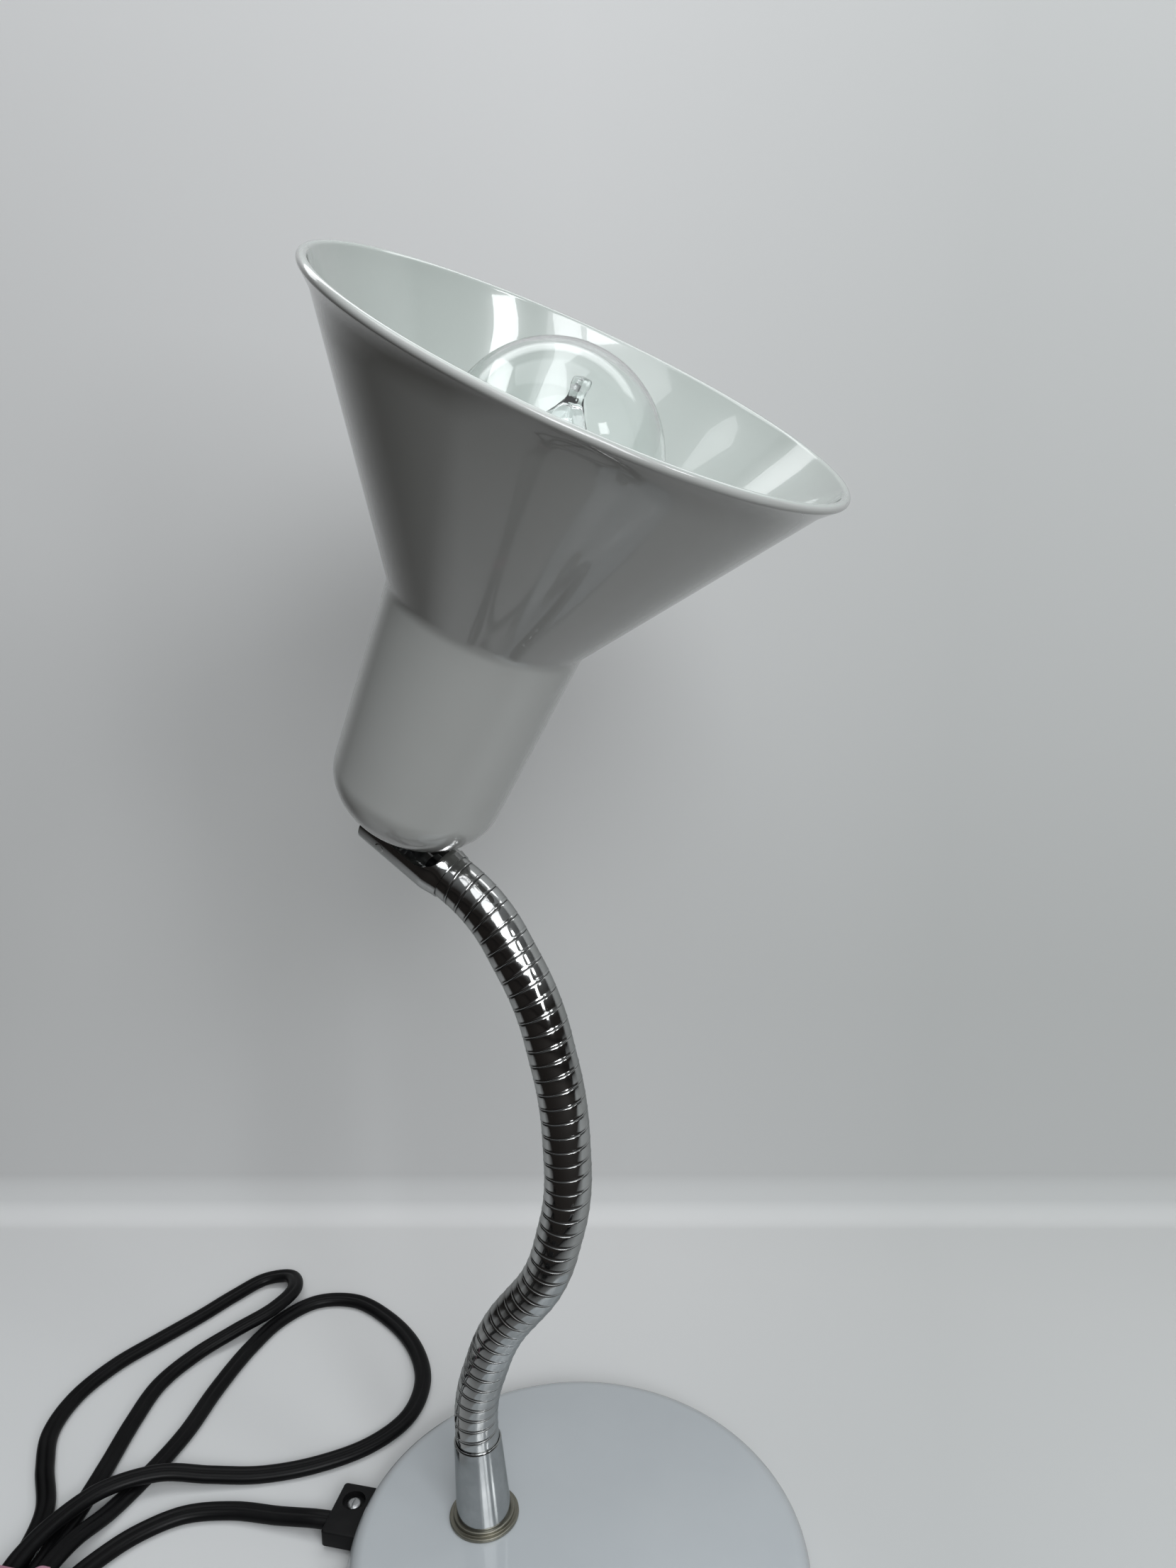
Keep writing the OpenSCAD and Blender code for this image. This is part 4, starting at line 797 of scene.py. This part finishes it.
outside, inside = cover_line(0), cover_line(COVER_T)
pts, faces = lathe(outside, COVER_STEPS)
under, under_f = lathe(inside, COVER_STEPS)
n_out, n_in, n_pts = len(outside), len(inside), len(pts)
faces += [tuple(n_pts + i for i in f) for f in under_f]
for k in range(COVER_STEPS):
    q = (k + 1) % COVER_STEPS
    faces.append((k * n_out, q * n_out, n_pts + q * n_in, n_pts + k * n_in))
cover = new_object("cover_shell", pts + under, faces, MAT["paint_base"])
notch_p, notch_f = prism(rounded_rect(19, 2 * NOTCH_HALF, 0.2, 2), -3, NOTCH_TOP)
notch = new_object("notch", moved(notch_p, NOTCH_X, NOTCH_Y), notch_f, MAT["paint_base"])
hole_p, hole_f = lathe([(0, -10), (BORE_R, -10), (BORE_R, 10), (0, 10)], 64)
hole = new_object("hole", hole_p, hole_f, MAT["paint_base"], FOOT)
cut(cover, notch, hole)
give(cover, "base", "white_paint", "base_cover")


# ---------- bulb ----------

BULB_R, BULB_LEN, CAP_LEN, NECK_R, GLASS_T = 30.0, 104.0, 26, 12.2, 0.8
tip_z = rim_z + 5.4
mid_z = tip_z - BULB_R
cap_top = tip_z - BULB_LEN + CAP_LEN
outside = arc(0, mid_z, BULB_R, np.linspace(90, -45, 34))
outside[0] = (0.0, outside[0][1])
# The glass narrows into its neck on a curve with three control points
g0, g1, g2 = vec(*outside[-1]), vec(NECK_R + 0.6, cap_top + 13), vec(NECK_R, cap_top + 1)
outside += [tuple((1 - t) ** 2 * g0 + 2 * t * (1 - t) * g1 + t * t * g2)
            for t in np.linspace(0.08, 1, 14)]
outside.append((NECK_R, cap_top - 4))
inside = [(0.0, outside[0][1] - GLASS_T)]
for k in range(1, len(outside)):
    d = unit(vec(*outside[min(k + 1, len(outside) - 1)]) - vec(*outside[k - 1]))
    inside.append((outside[k][0] + GLASS_T * d[1], outside[k][1] - GLASS_T * d[0]))
bulb = new_object("bulb_envelope", *lathe(outside + inside[::-1], 160), MAT["bulb_glass"], HEAD)
give(bulb, "bulb", "bulb_glass", "bulb_glass")

CAPSULE_D, CAPSULE_LEN, CAPSULE_WALL, CAPSULE_DOME = 13.6, 33, 0.9, 7
# The capsule is pressed flat between these distances from its top
PINCH_FROM, PINCH_TO, PINCH_W, PINCH_T = 14.2, 4.6, 6.2, 2.6
capsule_top = tip_z - 8.4
capsule_low = capsule_top - CAPSULE_LEN


def capsule_ring(z, grow=0.0):
    """Cross-section of the halogen capsule: round body, pressed flat at its pinch."""
    top, low = capsule_top - z, z - capsule_low
    if low < CAPSULE_DOME:
        r = 1.6 + (CAPSULE_D / 2 - 1.6) * math.sqrt(max(0.0, 1 - (1 - low / CAPSULE_DOME) ** 2))
        w = h = 2 * r
    elif top > PINCH_FROM:
        w = h = CAPSULE_D
    else:
        f = smooth_step(PINCH_FROM, PINCH_TO, top)
        lip = 0.7 * smooth_step(3.8, 2.2, top)
        w = CAPSULE_D + (PINCH_W - CAPSULE_D) * f + lip
        h = CAPSULE_D + (PINCH_T - CAPSULE_D) * f ** 0.8 + lip
    w, h = max(w - 2 * grow, 0.3), max(h - 2 * grow, 0.3)
    r = min(w, h) / 2 * (1 if w > 9 else 0.8)
    return [(y, x, z) for x, y in rounded_rect(w, h, r, 10)]


def capsule_skin(from_low, from_top, grow=0.0):
    """Rings at distances from the capsule's lower end and from its top."""
    zs = [capsule_low + v for v in from_low] + [capsule_top - v for v in from_top]
    return [capsule_ring(z, grow) for z in zs]


rings = capsule_skin((0, 0.25, 0.8, 1.8, 3.2, 5, 7, 10, 14, 17.8),
                     (14, 13, 12, 11, 10, 9, 8, 7.2, 6.4, 5.6, 4.8, 4.2, 3.6, 3.0, 2.4, 1.6, 0.9))
rings += [[(x * shrink, y * shrink, z + rise) for x, y, z in rings[-1]]
          for rise, shrink in ((0.35, 0.95), (0.65, 0.82), (0.85, 0.55))]
pts, faces = loft(rings)
n_pts, n_faces = len(pts), len(faces)
hollow, hollow_f = loft(capsule_skin((1.4, 2.2, 3.4, 5, 7, 10, 14, 17.8),
                                     (14, 13, 12, 11, 10, 9, 8.2, 7.6), CAPSULE_WALL))
capsule = new_object("capsule", pts + hollow, faces + [tuple(n_pts + i for i in f) for f in hollow_f],
                     MAT["capsule_glass"], HEAD)
# The hollow's faces look into it
b = bmesh.new()
b.from_mesh(capsule.data)
b.faces.ensure_lookup_table()
bmesh.ops.reverse_faces(b, faces=b.faces[n_faces:])
b.to_mesh(capsule.data)
b.free()
give(capsule, "bulb", "bulb_glass", "halogen_capsule")


def wire(name, line, r, mat, m=None, sides=10):
    """A round wire along a line."""
    line = np.array(line, float)
    t = directions(line)
    n = unit(np.cross(t[0], (0.3, 0.5, 0.8)))
    rings = []
    for p, d in zip(line, t):
        n = unit(n - (n @ d) * d)
        b = np.cross(d, n)
        rings.append([p + r * (math.cos(a) * n + math.sin(a) * b)
                      for a in np.linspace(0, 2 * math.pi, sides, endpoint=False)])
    return new_object(name, *loft(rings), mat, m, sharp=50)


COIL_TURNS, COIL_STEPS, COIL_R, COIL_LEN = 9, 16, 0.55, 8.0
coil_z = capsule_low + 10.2
n_coil = COIL_TURNS * COIL_STEPS
coil = [(COIL_R * math.cos(2 * math.pi * k / COIL_STEPS), COIL_R * math.sin(2 * math.pi * k / COIL_STEPS),
         coil_z + COIL_LEN * k / n_coil) for k in range(n_coil + 1)]
fil = wire("filament_coil", coil, 0.16, MAT["zinc_steel"], HEAD, 6)
give(fil, "bulb", "zinc_steel", "filament")
posts = wire("filament_posts", [(0, 0, capsule_low - 0.6), (0, 0, capsule_low + 4),
                                (0, 0, capsule_low + 8), (0.3, 0, coil_z)], 0.4, MAT["zinc_steel"], HEAD)
give(posts, "bulb", "zinc_steel")


# ---------- cord clamp ----------

CLAMP_AT, CLAMP_W, CLAMP_D, CLAMP_EDGE = (-82, 0.8), 22.4, 20.0, 0.7
CLAMP_LOW, CLAMP_SPLIT, CLAMP_TOP = 2.0, 5.1, 8.2
SCREW_AT = (-85.5, 4.7)


def clamp_half(name, edges):
    """A half of the block, from (inset, height) pairs up its side."""
    rings = []
    for inset, z in edges:
        ring = rounded_rect(CLAMP_D - 2 * inset, CLAMP_W - 2 * inset, 1.2 - inset / 2, 5)
        rings.append([(x + CLAMP_AT[0], y + CLAMP_AT[1], z) for x, y in ring])
    return new_object(name, *loft(rings), MAT["black_plastic"], sharp=50)


flex_exit = vec(-92, -2.5, CLAMP_SPLIT)
FLEX_RISE = 7
run_foot = foot_point + ((CLAMP_SPLIT + FLEX_RISE * (1 - math.cos(math.pi / 2 + lean)) - foot_point[2])
                         / math.cos(lean)) * foot_dir
run_turn = math.atan2(run_foot[1] - flex_exit[1], run_foot[0] - flex_exit[0])
RUN = axes(flex_exit, vec(0, 0, -1), vec(math.cos(run_turn), math.sin(run_turn), 0))


def run_cutter(gap=0.12):
    """The flex's channel through the block, with a gap all round."""
    outline = [(y, x) for x, y in twin_outline(FLEX_WIDE + 2 * gap, FLEX_THICK + 2 * gap)]
    return new_object("run_cut", *prism(outline, -6, 30), MAT["black_plastic"], RUN)


lower = clamp_half("clamp_lower",
                   [(0.3, CLAMP_LOW), (0.08, CLAMP_LOW + 0.1), (0, CLAMP_LOW + 0.3), (0, CLAMP_SPLIT)])
cut(lower, run_cutter())
give(lower, "base", "black_plastic", "cord_block_lower")
round_z = CLAMP_TOP - CLAMP_EDGE
upper = clamp_half("clamp_upper", [(0, CLAMP_SPLIT), (0, round_z)] + [
    (CLAMP_EDGE * (1 - math.cos(math.radians(a))), round_z + CLAMP_EDGE * math.sin(math.radians(a)))
    for a in (22.5, 45, 67.5, 90)])
bore_p, bore_f = lathe([(0, 6.0), (4.2, 6.0), (4.2, 10), (0, 10)], 48)
bore = new_object("bore_cut", moved(bore_p, *SCREW_AT), bore_f, MAT["black_plastic"])
cut(upper, run_cutter(), bore)
give(upper, "base", "black_plastic", "cord_block_upper")
profile = soften([(0, 2.2), (1.5, 2.2), (1.5, 6.0), (2.6, 6.0), (2.6, 6.9), (1.9, 7.5), (0, 7.6)],
                 [0, 0.1, 0.05, 0.1, 0.3, 0.5, 0])
pts, faces = lathe(profile, 48)
screw = new_object("clamp_screw", moved(pts, *SCREW_AT), faces, MAT["zinc_steel"], sharp=60)
slot_p, slot_f = prism(rounded_rect(0.65, 7, 0.05, 1), 6.85, 9)
cut(screw, new_object("slot_cut", moved(slot_p, *SCREW_AT), slot_f, MAT["zinc_steel"]))
give(screw, "base", "zinc_steel", "cord_block_screw")


# ---------- in-line switch ----------

SWITCH_MID, SWITCH_LEN, SWITCH_W = (-69, -146), 62, 27
ROCKER_PIVOT_Z, ROCKER_REST = 13.5, math.radians(8)


def switch_half(name, levels):
    """A half of the switch's casing from its (inset, height, corner radius) levels."""
    pts, faces = loft([[(x, y, z) for x, y in rounded_rect(SWITCH_LEN - 2 * i, SWITCH_W - 2 * i, r, 7)]
                       for i, z, r in levels])
    return new_object(name, moved(pts, *SWITCH_MID), faces, MAT["black_plastic"], sharp=50)


sw_base = switch_half("switch_lower", [(1.2, 0.0, 5), (0.5, 0.25, 5), (0.1, 0.9, 5), (0, 1.6, 5),
                                       (0, 6.6, 5), (0.25, 6.97, 5)])
give(sw_base, "base", "black_plastic", "switch_base")
sw_cover = switch_half("switch_upper", [(0.25, 7.03, 5), (0, 7.4, 5), (0.05, 11.5, 5), (0.5, 13.6, 5),
                                        (1.3, 15.2, 5), (2.6, 16.4, 5), (4.4, 16.95, 4), (5.4, 17, 3.6)])
well_p, well_f = prism(rounded_rect(22.6, 9.8, 1.0, 4), 8.0, 22)
cut(sw_cover, new_object("well_cut", moved(well_p, *SWITCH_MID), well_f, MAT["black_plastic"]))
give(sw_cover, "base", "black_plastic", "switch_cover")

side_view = soften([(-9.9, 0.2), (-4, -4), (4, -4), (9.9, 0.2), (10.2, 5.4), (0, 3.9), (-10.2, 5.4)],
                   [0.3, 0.5, 0.5, 0.3, 0.5, 4.0, 0.5], closed=True, steps=5)
middle = vec(0, 0.7)
rings = []
for y, inset in ((-4.5, 0.35), (-4.4, 0.12), (-4.1, 0.0), (4.1, 0.0), (4.4, 0.12), (4.5, 0.35)):
    ring = []
    for p in side_view:
        v = vec(*p) - middle
        x, z = middle + v * (1 - inset / max(4.0, np.linalg.norm(v)))
        ring.append((x, y, z))
    rings.append(ring)
ROCK = axes(vec(*SWITCH_MID, ROCKER_PIVOT_Z), vec(math.cos(ROCKER_REST), 0, -math.sin(ROCKER_REST)),
            vec(math.sin(ROCKER_REST), 0, math.cos(ROCKER_REST)))
rocker = new_object("rocker_cap", *loft(rings), MAT["black_plastic"], ROCK, sharp=45)
give(rocker, "rocker", "black_plastic", "switch_rocker")


# ---------- plug ----------

PLUG = vec(46, -146, 6.8)
RELIEF_LEN, RELIEF_R, RIB_STEP, RIB_GAP, RIB_DEPTH = 24, 4.1, 4.0, 1.5, 0.75
BODY_LEN, BODY_EDGE = 36, 1.6


def plug_ring(x):
    """Cross-section of the plug at a distance from its relief's tip."""
    if x < RELIEF_LEN:
        r = RELIEF_R + 1.5 * x / RELIEF_LEN
        if RIB_GAP < x < 21.5 and x % RIB_STEP < RIB_GAP:
            r -= RIB_DEPTH
        w = h = 2 * r
    else:
        u = x - RELIEF_LEN
        w = 12 + 21 * smooth_step(-4, 24, u)
        h = 11.2 + 2.4 * smooth_step(0, 14, u)
        end = BODY_LEN - u
        if end < BODY_EDGE:
            inset = BODY_EDGE - math.sqrt(max(0.0, BODY_EDGE ** 2 - (BODY_EDGE - end) ** 2))
            w -= 2 * inset * 0.8
            h -= 2 * inset * 0.8
        if 8 < u < 24:
            w -= 1.5 * math.sin(math.pi * (u - 8) / 16) ** 2
    return [(PLUG[0] + x, PLUG[1] + a, PLUG[2] + b) for a, b in rounded_rect(w, h, h / 2, 12)]


xs = [0, 0.4, 1.2] + [round(1.5 + 0.25 * k, 2) for k in range(82)] + [22, 22.5, 23, 23.5, 24]
xs += [24 + 0.75 * k for k in range(1, 46)] + [59.0, 59.4, 59.7, 59.9, 60]
rings = [plug_ring(x) for x in sorted(set(xs))]
plug = new_object("plug_shell", *loft(rings), MAT["black_plastic"], sharp=35)
give(plug, "base", "black_plastic", "plug_body")


# ---------- tie ----------

TIE, TIE_W, TIE_H = vec(-181, -50, 5.45), 30, 10.9


def tie_ring(y, inset):
    outline = rounded_rect(TIE_W - 2 * inset, TIE_H - 2 * inset, 3.4 - inset, 7)
    return [(x + TIE[0], y + TIE[1], z + TIE[2]) for x, z in outline]


rings = [tie_ring(y, inset) for y, inset in ((-2, 0.25), (-1.8, 0.0), (1.8, 0.0), (2, 0.25),
                                             (2, 0.55), (-2, 0.55), (-2, 0.25))]
tie = new_object("tie_band", *loft(rings, caps=False), MAT["tie_plastic"], sharp=50)
give(tie, "base", "tie_plastic", "flex_tie")
# The twisted ends spread to both sides of the band's top
for end, s in (("a", -1), ("b", 1)):
    line = [(TIE[0] + s * x, TIE[1] + s * y, z)
            for x, y, z in ((0.6, 0.5, 10.6), (1.6, 1.0, 11.5), (4.4, 2.5, 12.6), (7.5, 3.0, 12.2))]
    twist = wire(f"tie_end_{end}", through(line, 0.7), 0.55, MAT["tie_plastic"])
    give(twist, "base", "tie_plastic")


# ---------- floor, backdrop, light ----------

FLOOR_TONES = (0.88, 0.895, 0.90), (0.85, 0.865, 0.87)
# The floor is painted paler towards the backdrop, as painted light, and the paper's right side is
# multiplied darker, as painted shade
FLOOR_BACK_PAINTED_LIGHT, RIGHT_PAINTED_SHADE = (0.93, 0.935, 0.935), (0.86, 0.87, 0.865)
# Heights between which the paper's tone turns into the next one: painted shade at the foot of the sweep,
# a painted highlight along its crease, and the wall painted lighter towards its top, as if lit from above
WALL_PAINTED_LIGHT = ((0.0, 0.007, (0.74, 0.75, 0.75)), (0.007, 0.022, (0.88, 0.89, 0.89)),
              (0.020, 0.12, (0.83, 0.84, 0.835)), (0.15, 0.62, (0.93, 0.935, 0.935)))
# Tones of the dim room in front of the lamp, as mirrored by it and as bounced onto it
ROOM_MIRRORED, ROOM_BOUNCED = (0.020, 0.016, 0.014), (0.05, 0.042, 0.036)
SWEEP_FROM, SWEEP_R = 0.200, 0.020


def paper(name, one_sided):
    """Paper with painted light: painted shade and a painted highlight along the sweep's crease, paler
    towards the top of the wall and towards the backdrop, and painted shade on the right. Its part in
    front of the lamp is dark to reflections and bounced light, as a dim room is, and a one-sided sheet
    can be seen through from behind."""
    mat, t, sh, co = new_material(name, {"Roughness": 0.85, "Specular IOR Level": 0.2})
    x, y, z = put(t, "ShaderNodeSeparateXYZ", {"Vector": co}).outputs
    tone = blend_colour(t, span(t, noise(t, co, 3, 3.0), 0.35, 0.65), *FLOOR_TONES)
    # Painted light: the floor turns paler towards the backdrop
    tone = blend_colour(t, span(t, y, 0.0, 0.18), tone, FLOOR_BACK_PAINTED_LIGHT)
    # Painted shade and a painted highlight along the sweep's crease, and the wall painted lighter towards
    # its top
    for low, high, colour in WALL_PAINTED_LIGHT:
        tone = blend_colour(t, span(t, z, low, high), tone, colour)
    # Painted shade: the paper's right side is multiplied darker
    tone = blend_colour(t, span(t, x, -0.05, 0.13), tone, RIGHT_PAINTED_SHADE, "MULTIPLY")
    path = put(t, "ShaderNodeLightPath").outputs
    in_front = maths(t, "MAXIMUM", span(t, y, 0.05, -0.15), span(t, x, -0.20, -0.50))
    dimmed = maths(t, "MAXIMUM", span(t, z, 0.02, 0.0, 0.15, 0.30), in_front)
    dimmed = maths(t, "SUBTRACT", dimmed, path["Is Transmission Ray"], clamp=True)
    tone = blend_colour(t, maths(t, "MULTIPLY", path["Is Glossy Ray"], dimmed), tone, ROOM_MIRRORED)
    dimmed = maths(t, "MAXIMUM", span(t, y, 0.0, -0.22, 0.84, 1.0), span(t, x, -0.25, -0.6, 0.84, 1.0))
    tone = blend_colour(t, maths(t, "MULTIPLY", path["Is Diffuse Ray"], dimmed), tone, ROOM_BOUNCED)
    t.links.new(tone, sh.inputs["Base Color"])
    if one_sided:
        geo = put(t, "ShaderNodeNewGeometry")
        clear = put(t, "ShaderNodeBsdfTransparent")
        mix = put(t, "ShaderNodeMixShader", {
            0: geo.outputs["Backfacing"], 1: sh.outputs[0], 2: clear.outputs[0]})
        t.links.new(mix.outputs[0], t.nodes["Material Output"].inputs["Surface"])
    return mat


def sheet(name, line, mat):
    """A strip that runs across the view, from its side line of (distance, height) in metres. It
    lies a little below the lamp's felt."""
    across = (-3.0, -1.2, 0.0, 1.2, 3.0)
    pts = [(x / MM, y / MM, (z - 0.0002) / MM) for x in across for y, z in line]
    ob = new_object(name, pts, grid(len(across), len(line)), mat,
                    axes((0, 0, 0), (AHEAD[1], -AHEAD[0], 0), (0, 0, 1)))
    if ob.data.polygons[0].normal.z < 0:
        ob.data.flip_normals()


line = [(y, 0.0) for y in (-2.6, -1.2, -0.4, 0.0, SWEEP_FROM)]
line += [(SWEEP_FROM + SWEEP_R * math.sin(math.radians(a)), SWEEP_R * (1 - math.cos(math.radians(a))))
         for a in range(6, 91, 6)]
line += [(SWEEP_FROM + SWEEP_R, z) for z in (0.2, 0.5, 1.0, 1.6)]
sheet("backdrop", line, paper("backdrop_paper", True))
sheet("floor_behind", [(y, 0.0) for y in (SWEEP_FROM, 0.6, 1.4, 2.8)], paper("floor_paper", False))


def area(name, place, aim, size, power, colour=(0.97, 0.99, 1.0)):
    """A soft lamp at a place in metres, turned towards its aim."""
    data = bpy.data.lights.new(name, "AREA")
    data.shape, data.size, data.size_y = "RECTANGLE", size[0], size[1]
    data.energy, data.color = power, colour
    ob = bpy.data.objects.new(name, data)
    scene.collection.objects.link(ob)
    ob.location = place
    ob.rotation_mode = "QUATERNION"
    ob.rotation_quaternion = (Vector(aim) - Vector(place)).to_track_quat("-Z", "Y")
    return ob


WINDOW_COLOUR = (0.96, 0.98, 1.0)
area("window", (0.63, -1.18, 1.43), (0.0, 0.0, 0.3), (1.3, 1.1), 7, WINDOW_COLOUR)
area("front_window", (0.52, -1.16, 0.92), (0.0, 0.0, 0.3), (0.45, 0.5), 4.6, WINDOW_COLOUR)
area("tall_window", (0.92, -1.00, 0.80), (0.0, 0.0, 0.3), (0.25, 0.9), 3.8, WINDOW_COLOUR)
area("pane", (1.05, -0.42, 0.83), (-0.03, 0.03, 0.42), (0.2, 0.2), 1.2)
area("sky_panel", (0.0, -0.1, 1.7), (0.0, 0.05, 0.1), (1.2, 0.8), 5.2)
# Lights the lamp's back from above the frame
back_light = area("back_light", (-0.040, 0.186, 0.72), (0.165, -0.778, 0.27), (0.9, 0.12), 0.7)
back_light.visible_camera = False

# The room is dim to the lamp and pale to the camera
world = bpy.data.worlds.new("room")
scene.world = world
world.use_nodes = True
t = world.node_tree
t.nodes.clear()
out = put(t, "ShaderNodeOutputWorld")
path = put(t, "ShaderNodeLightPath").outputs
direction = put(t, "ShaderNodeTexCoord").outputs["Generated"]
upward = put(t, "ShaderNodeSeparateXYZ", {"Vector": direction}).outputs[2]
room = blend_colour(t, span(t, upward, 0.15, 0.85), (0.02, 0.018, 0.017), (0.24, 0.25, 0.255))
pale = put(t, "ShaderNodeBackground", {"Color": (0.50, 0.515, 0.52, 1), "Strength": 1.0})
lit = put(t, "ShaderNodeBackground", {"Color": room, "Strength": 1.0})
seen = maths(t, "MAXIMUM", path["Is Camera Ray"], path["Is Transmission Ray"])
clear = put(t, "ShaderNodeMixShader", {0: seen, 1: lit.outputs[0], 2: pale.outputs[0]})
t.links.new(clear.outputs[0], out.inputs["Surface"])

print("flex length", round(flex_length, 4), "plug lead", round(lead_length, 4))
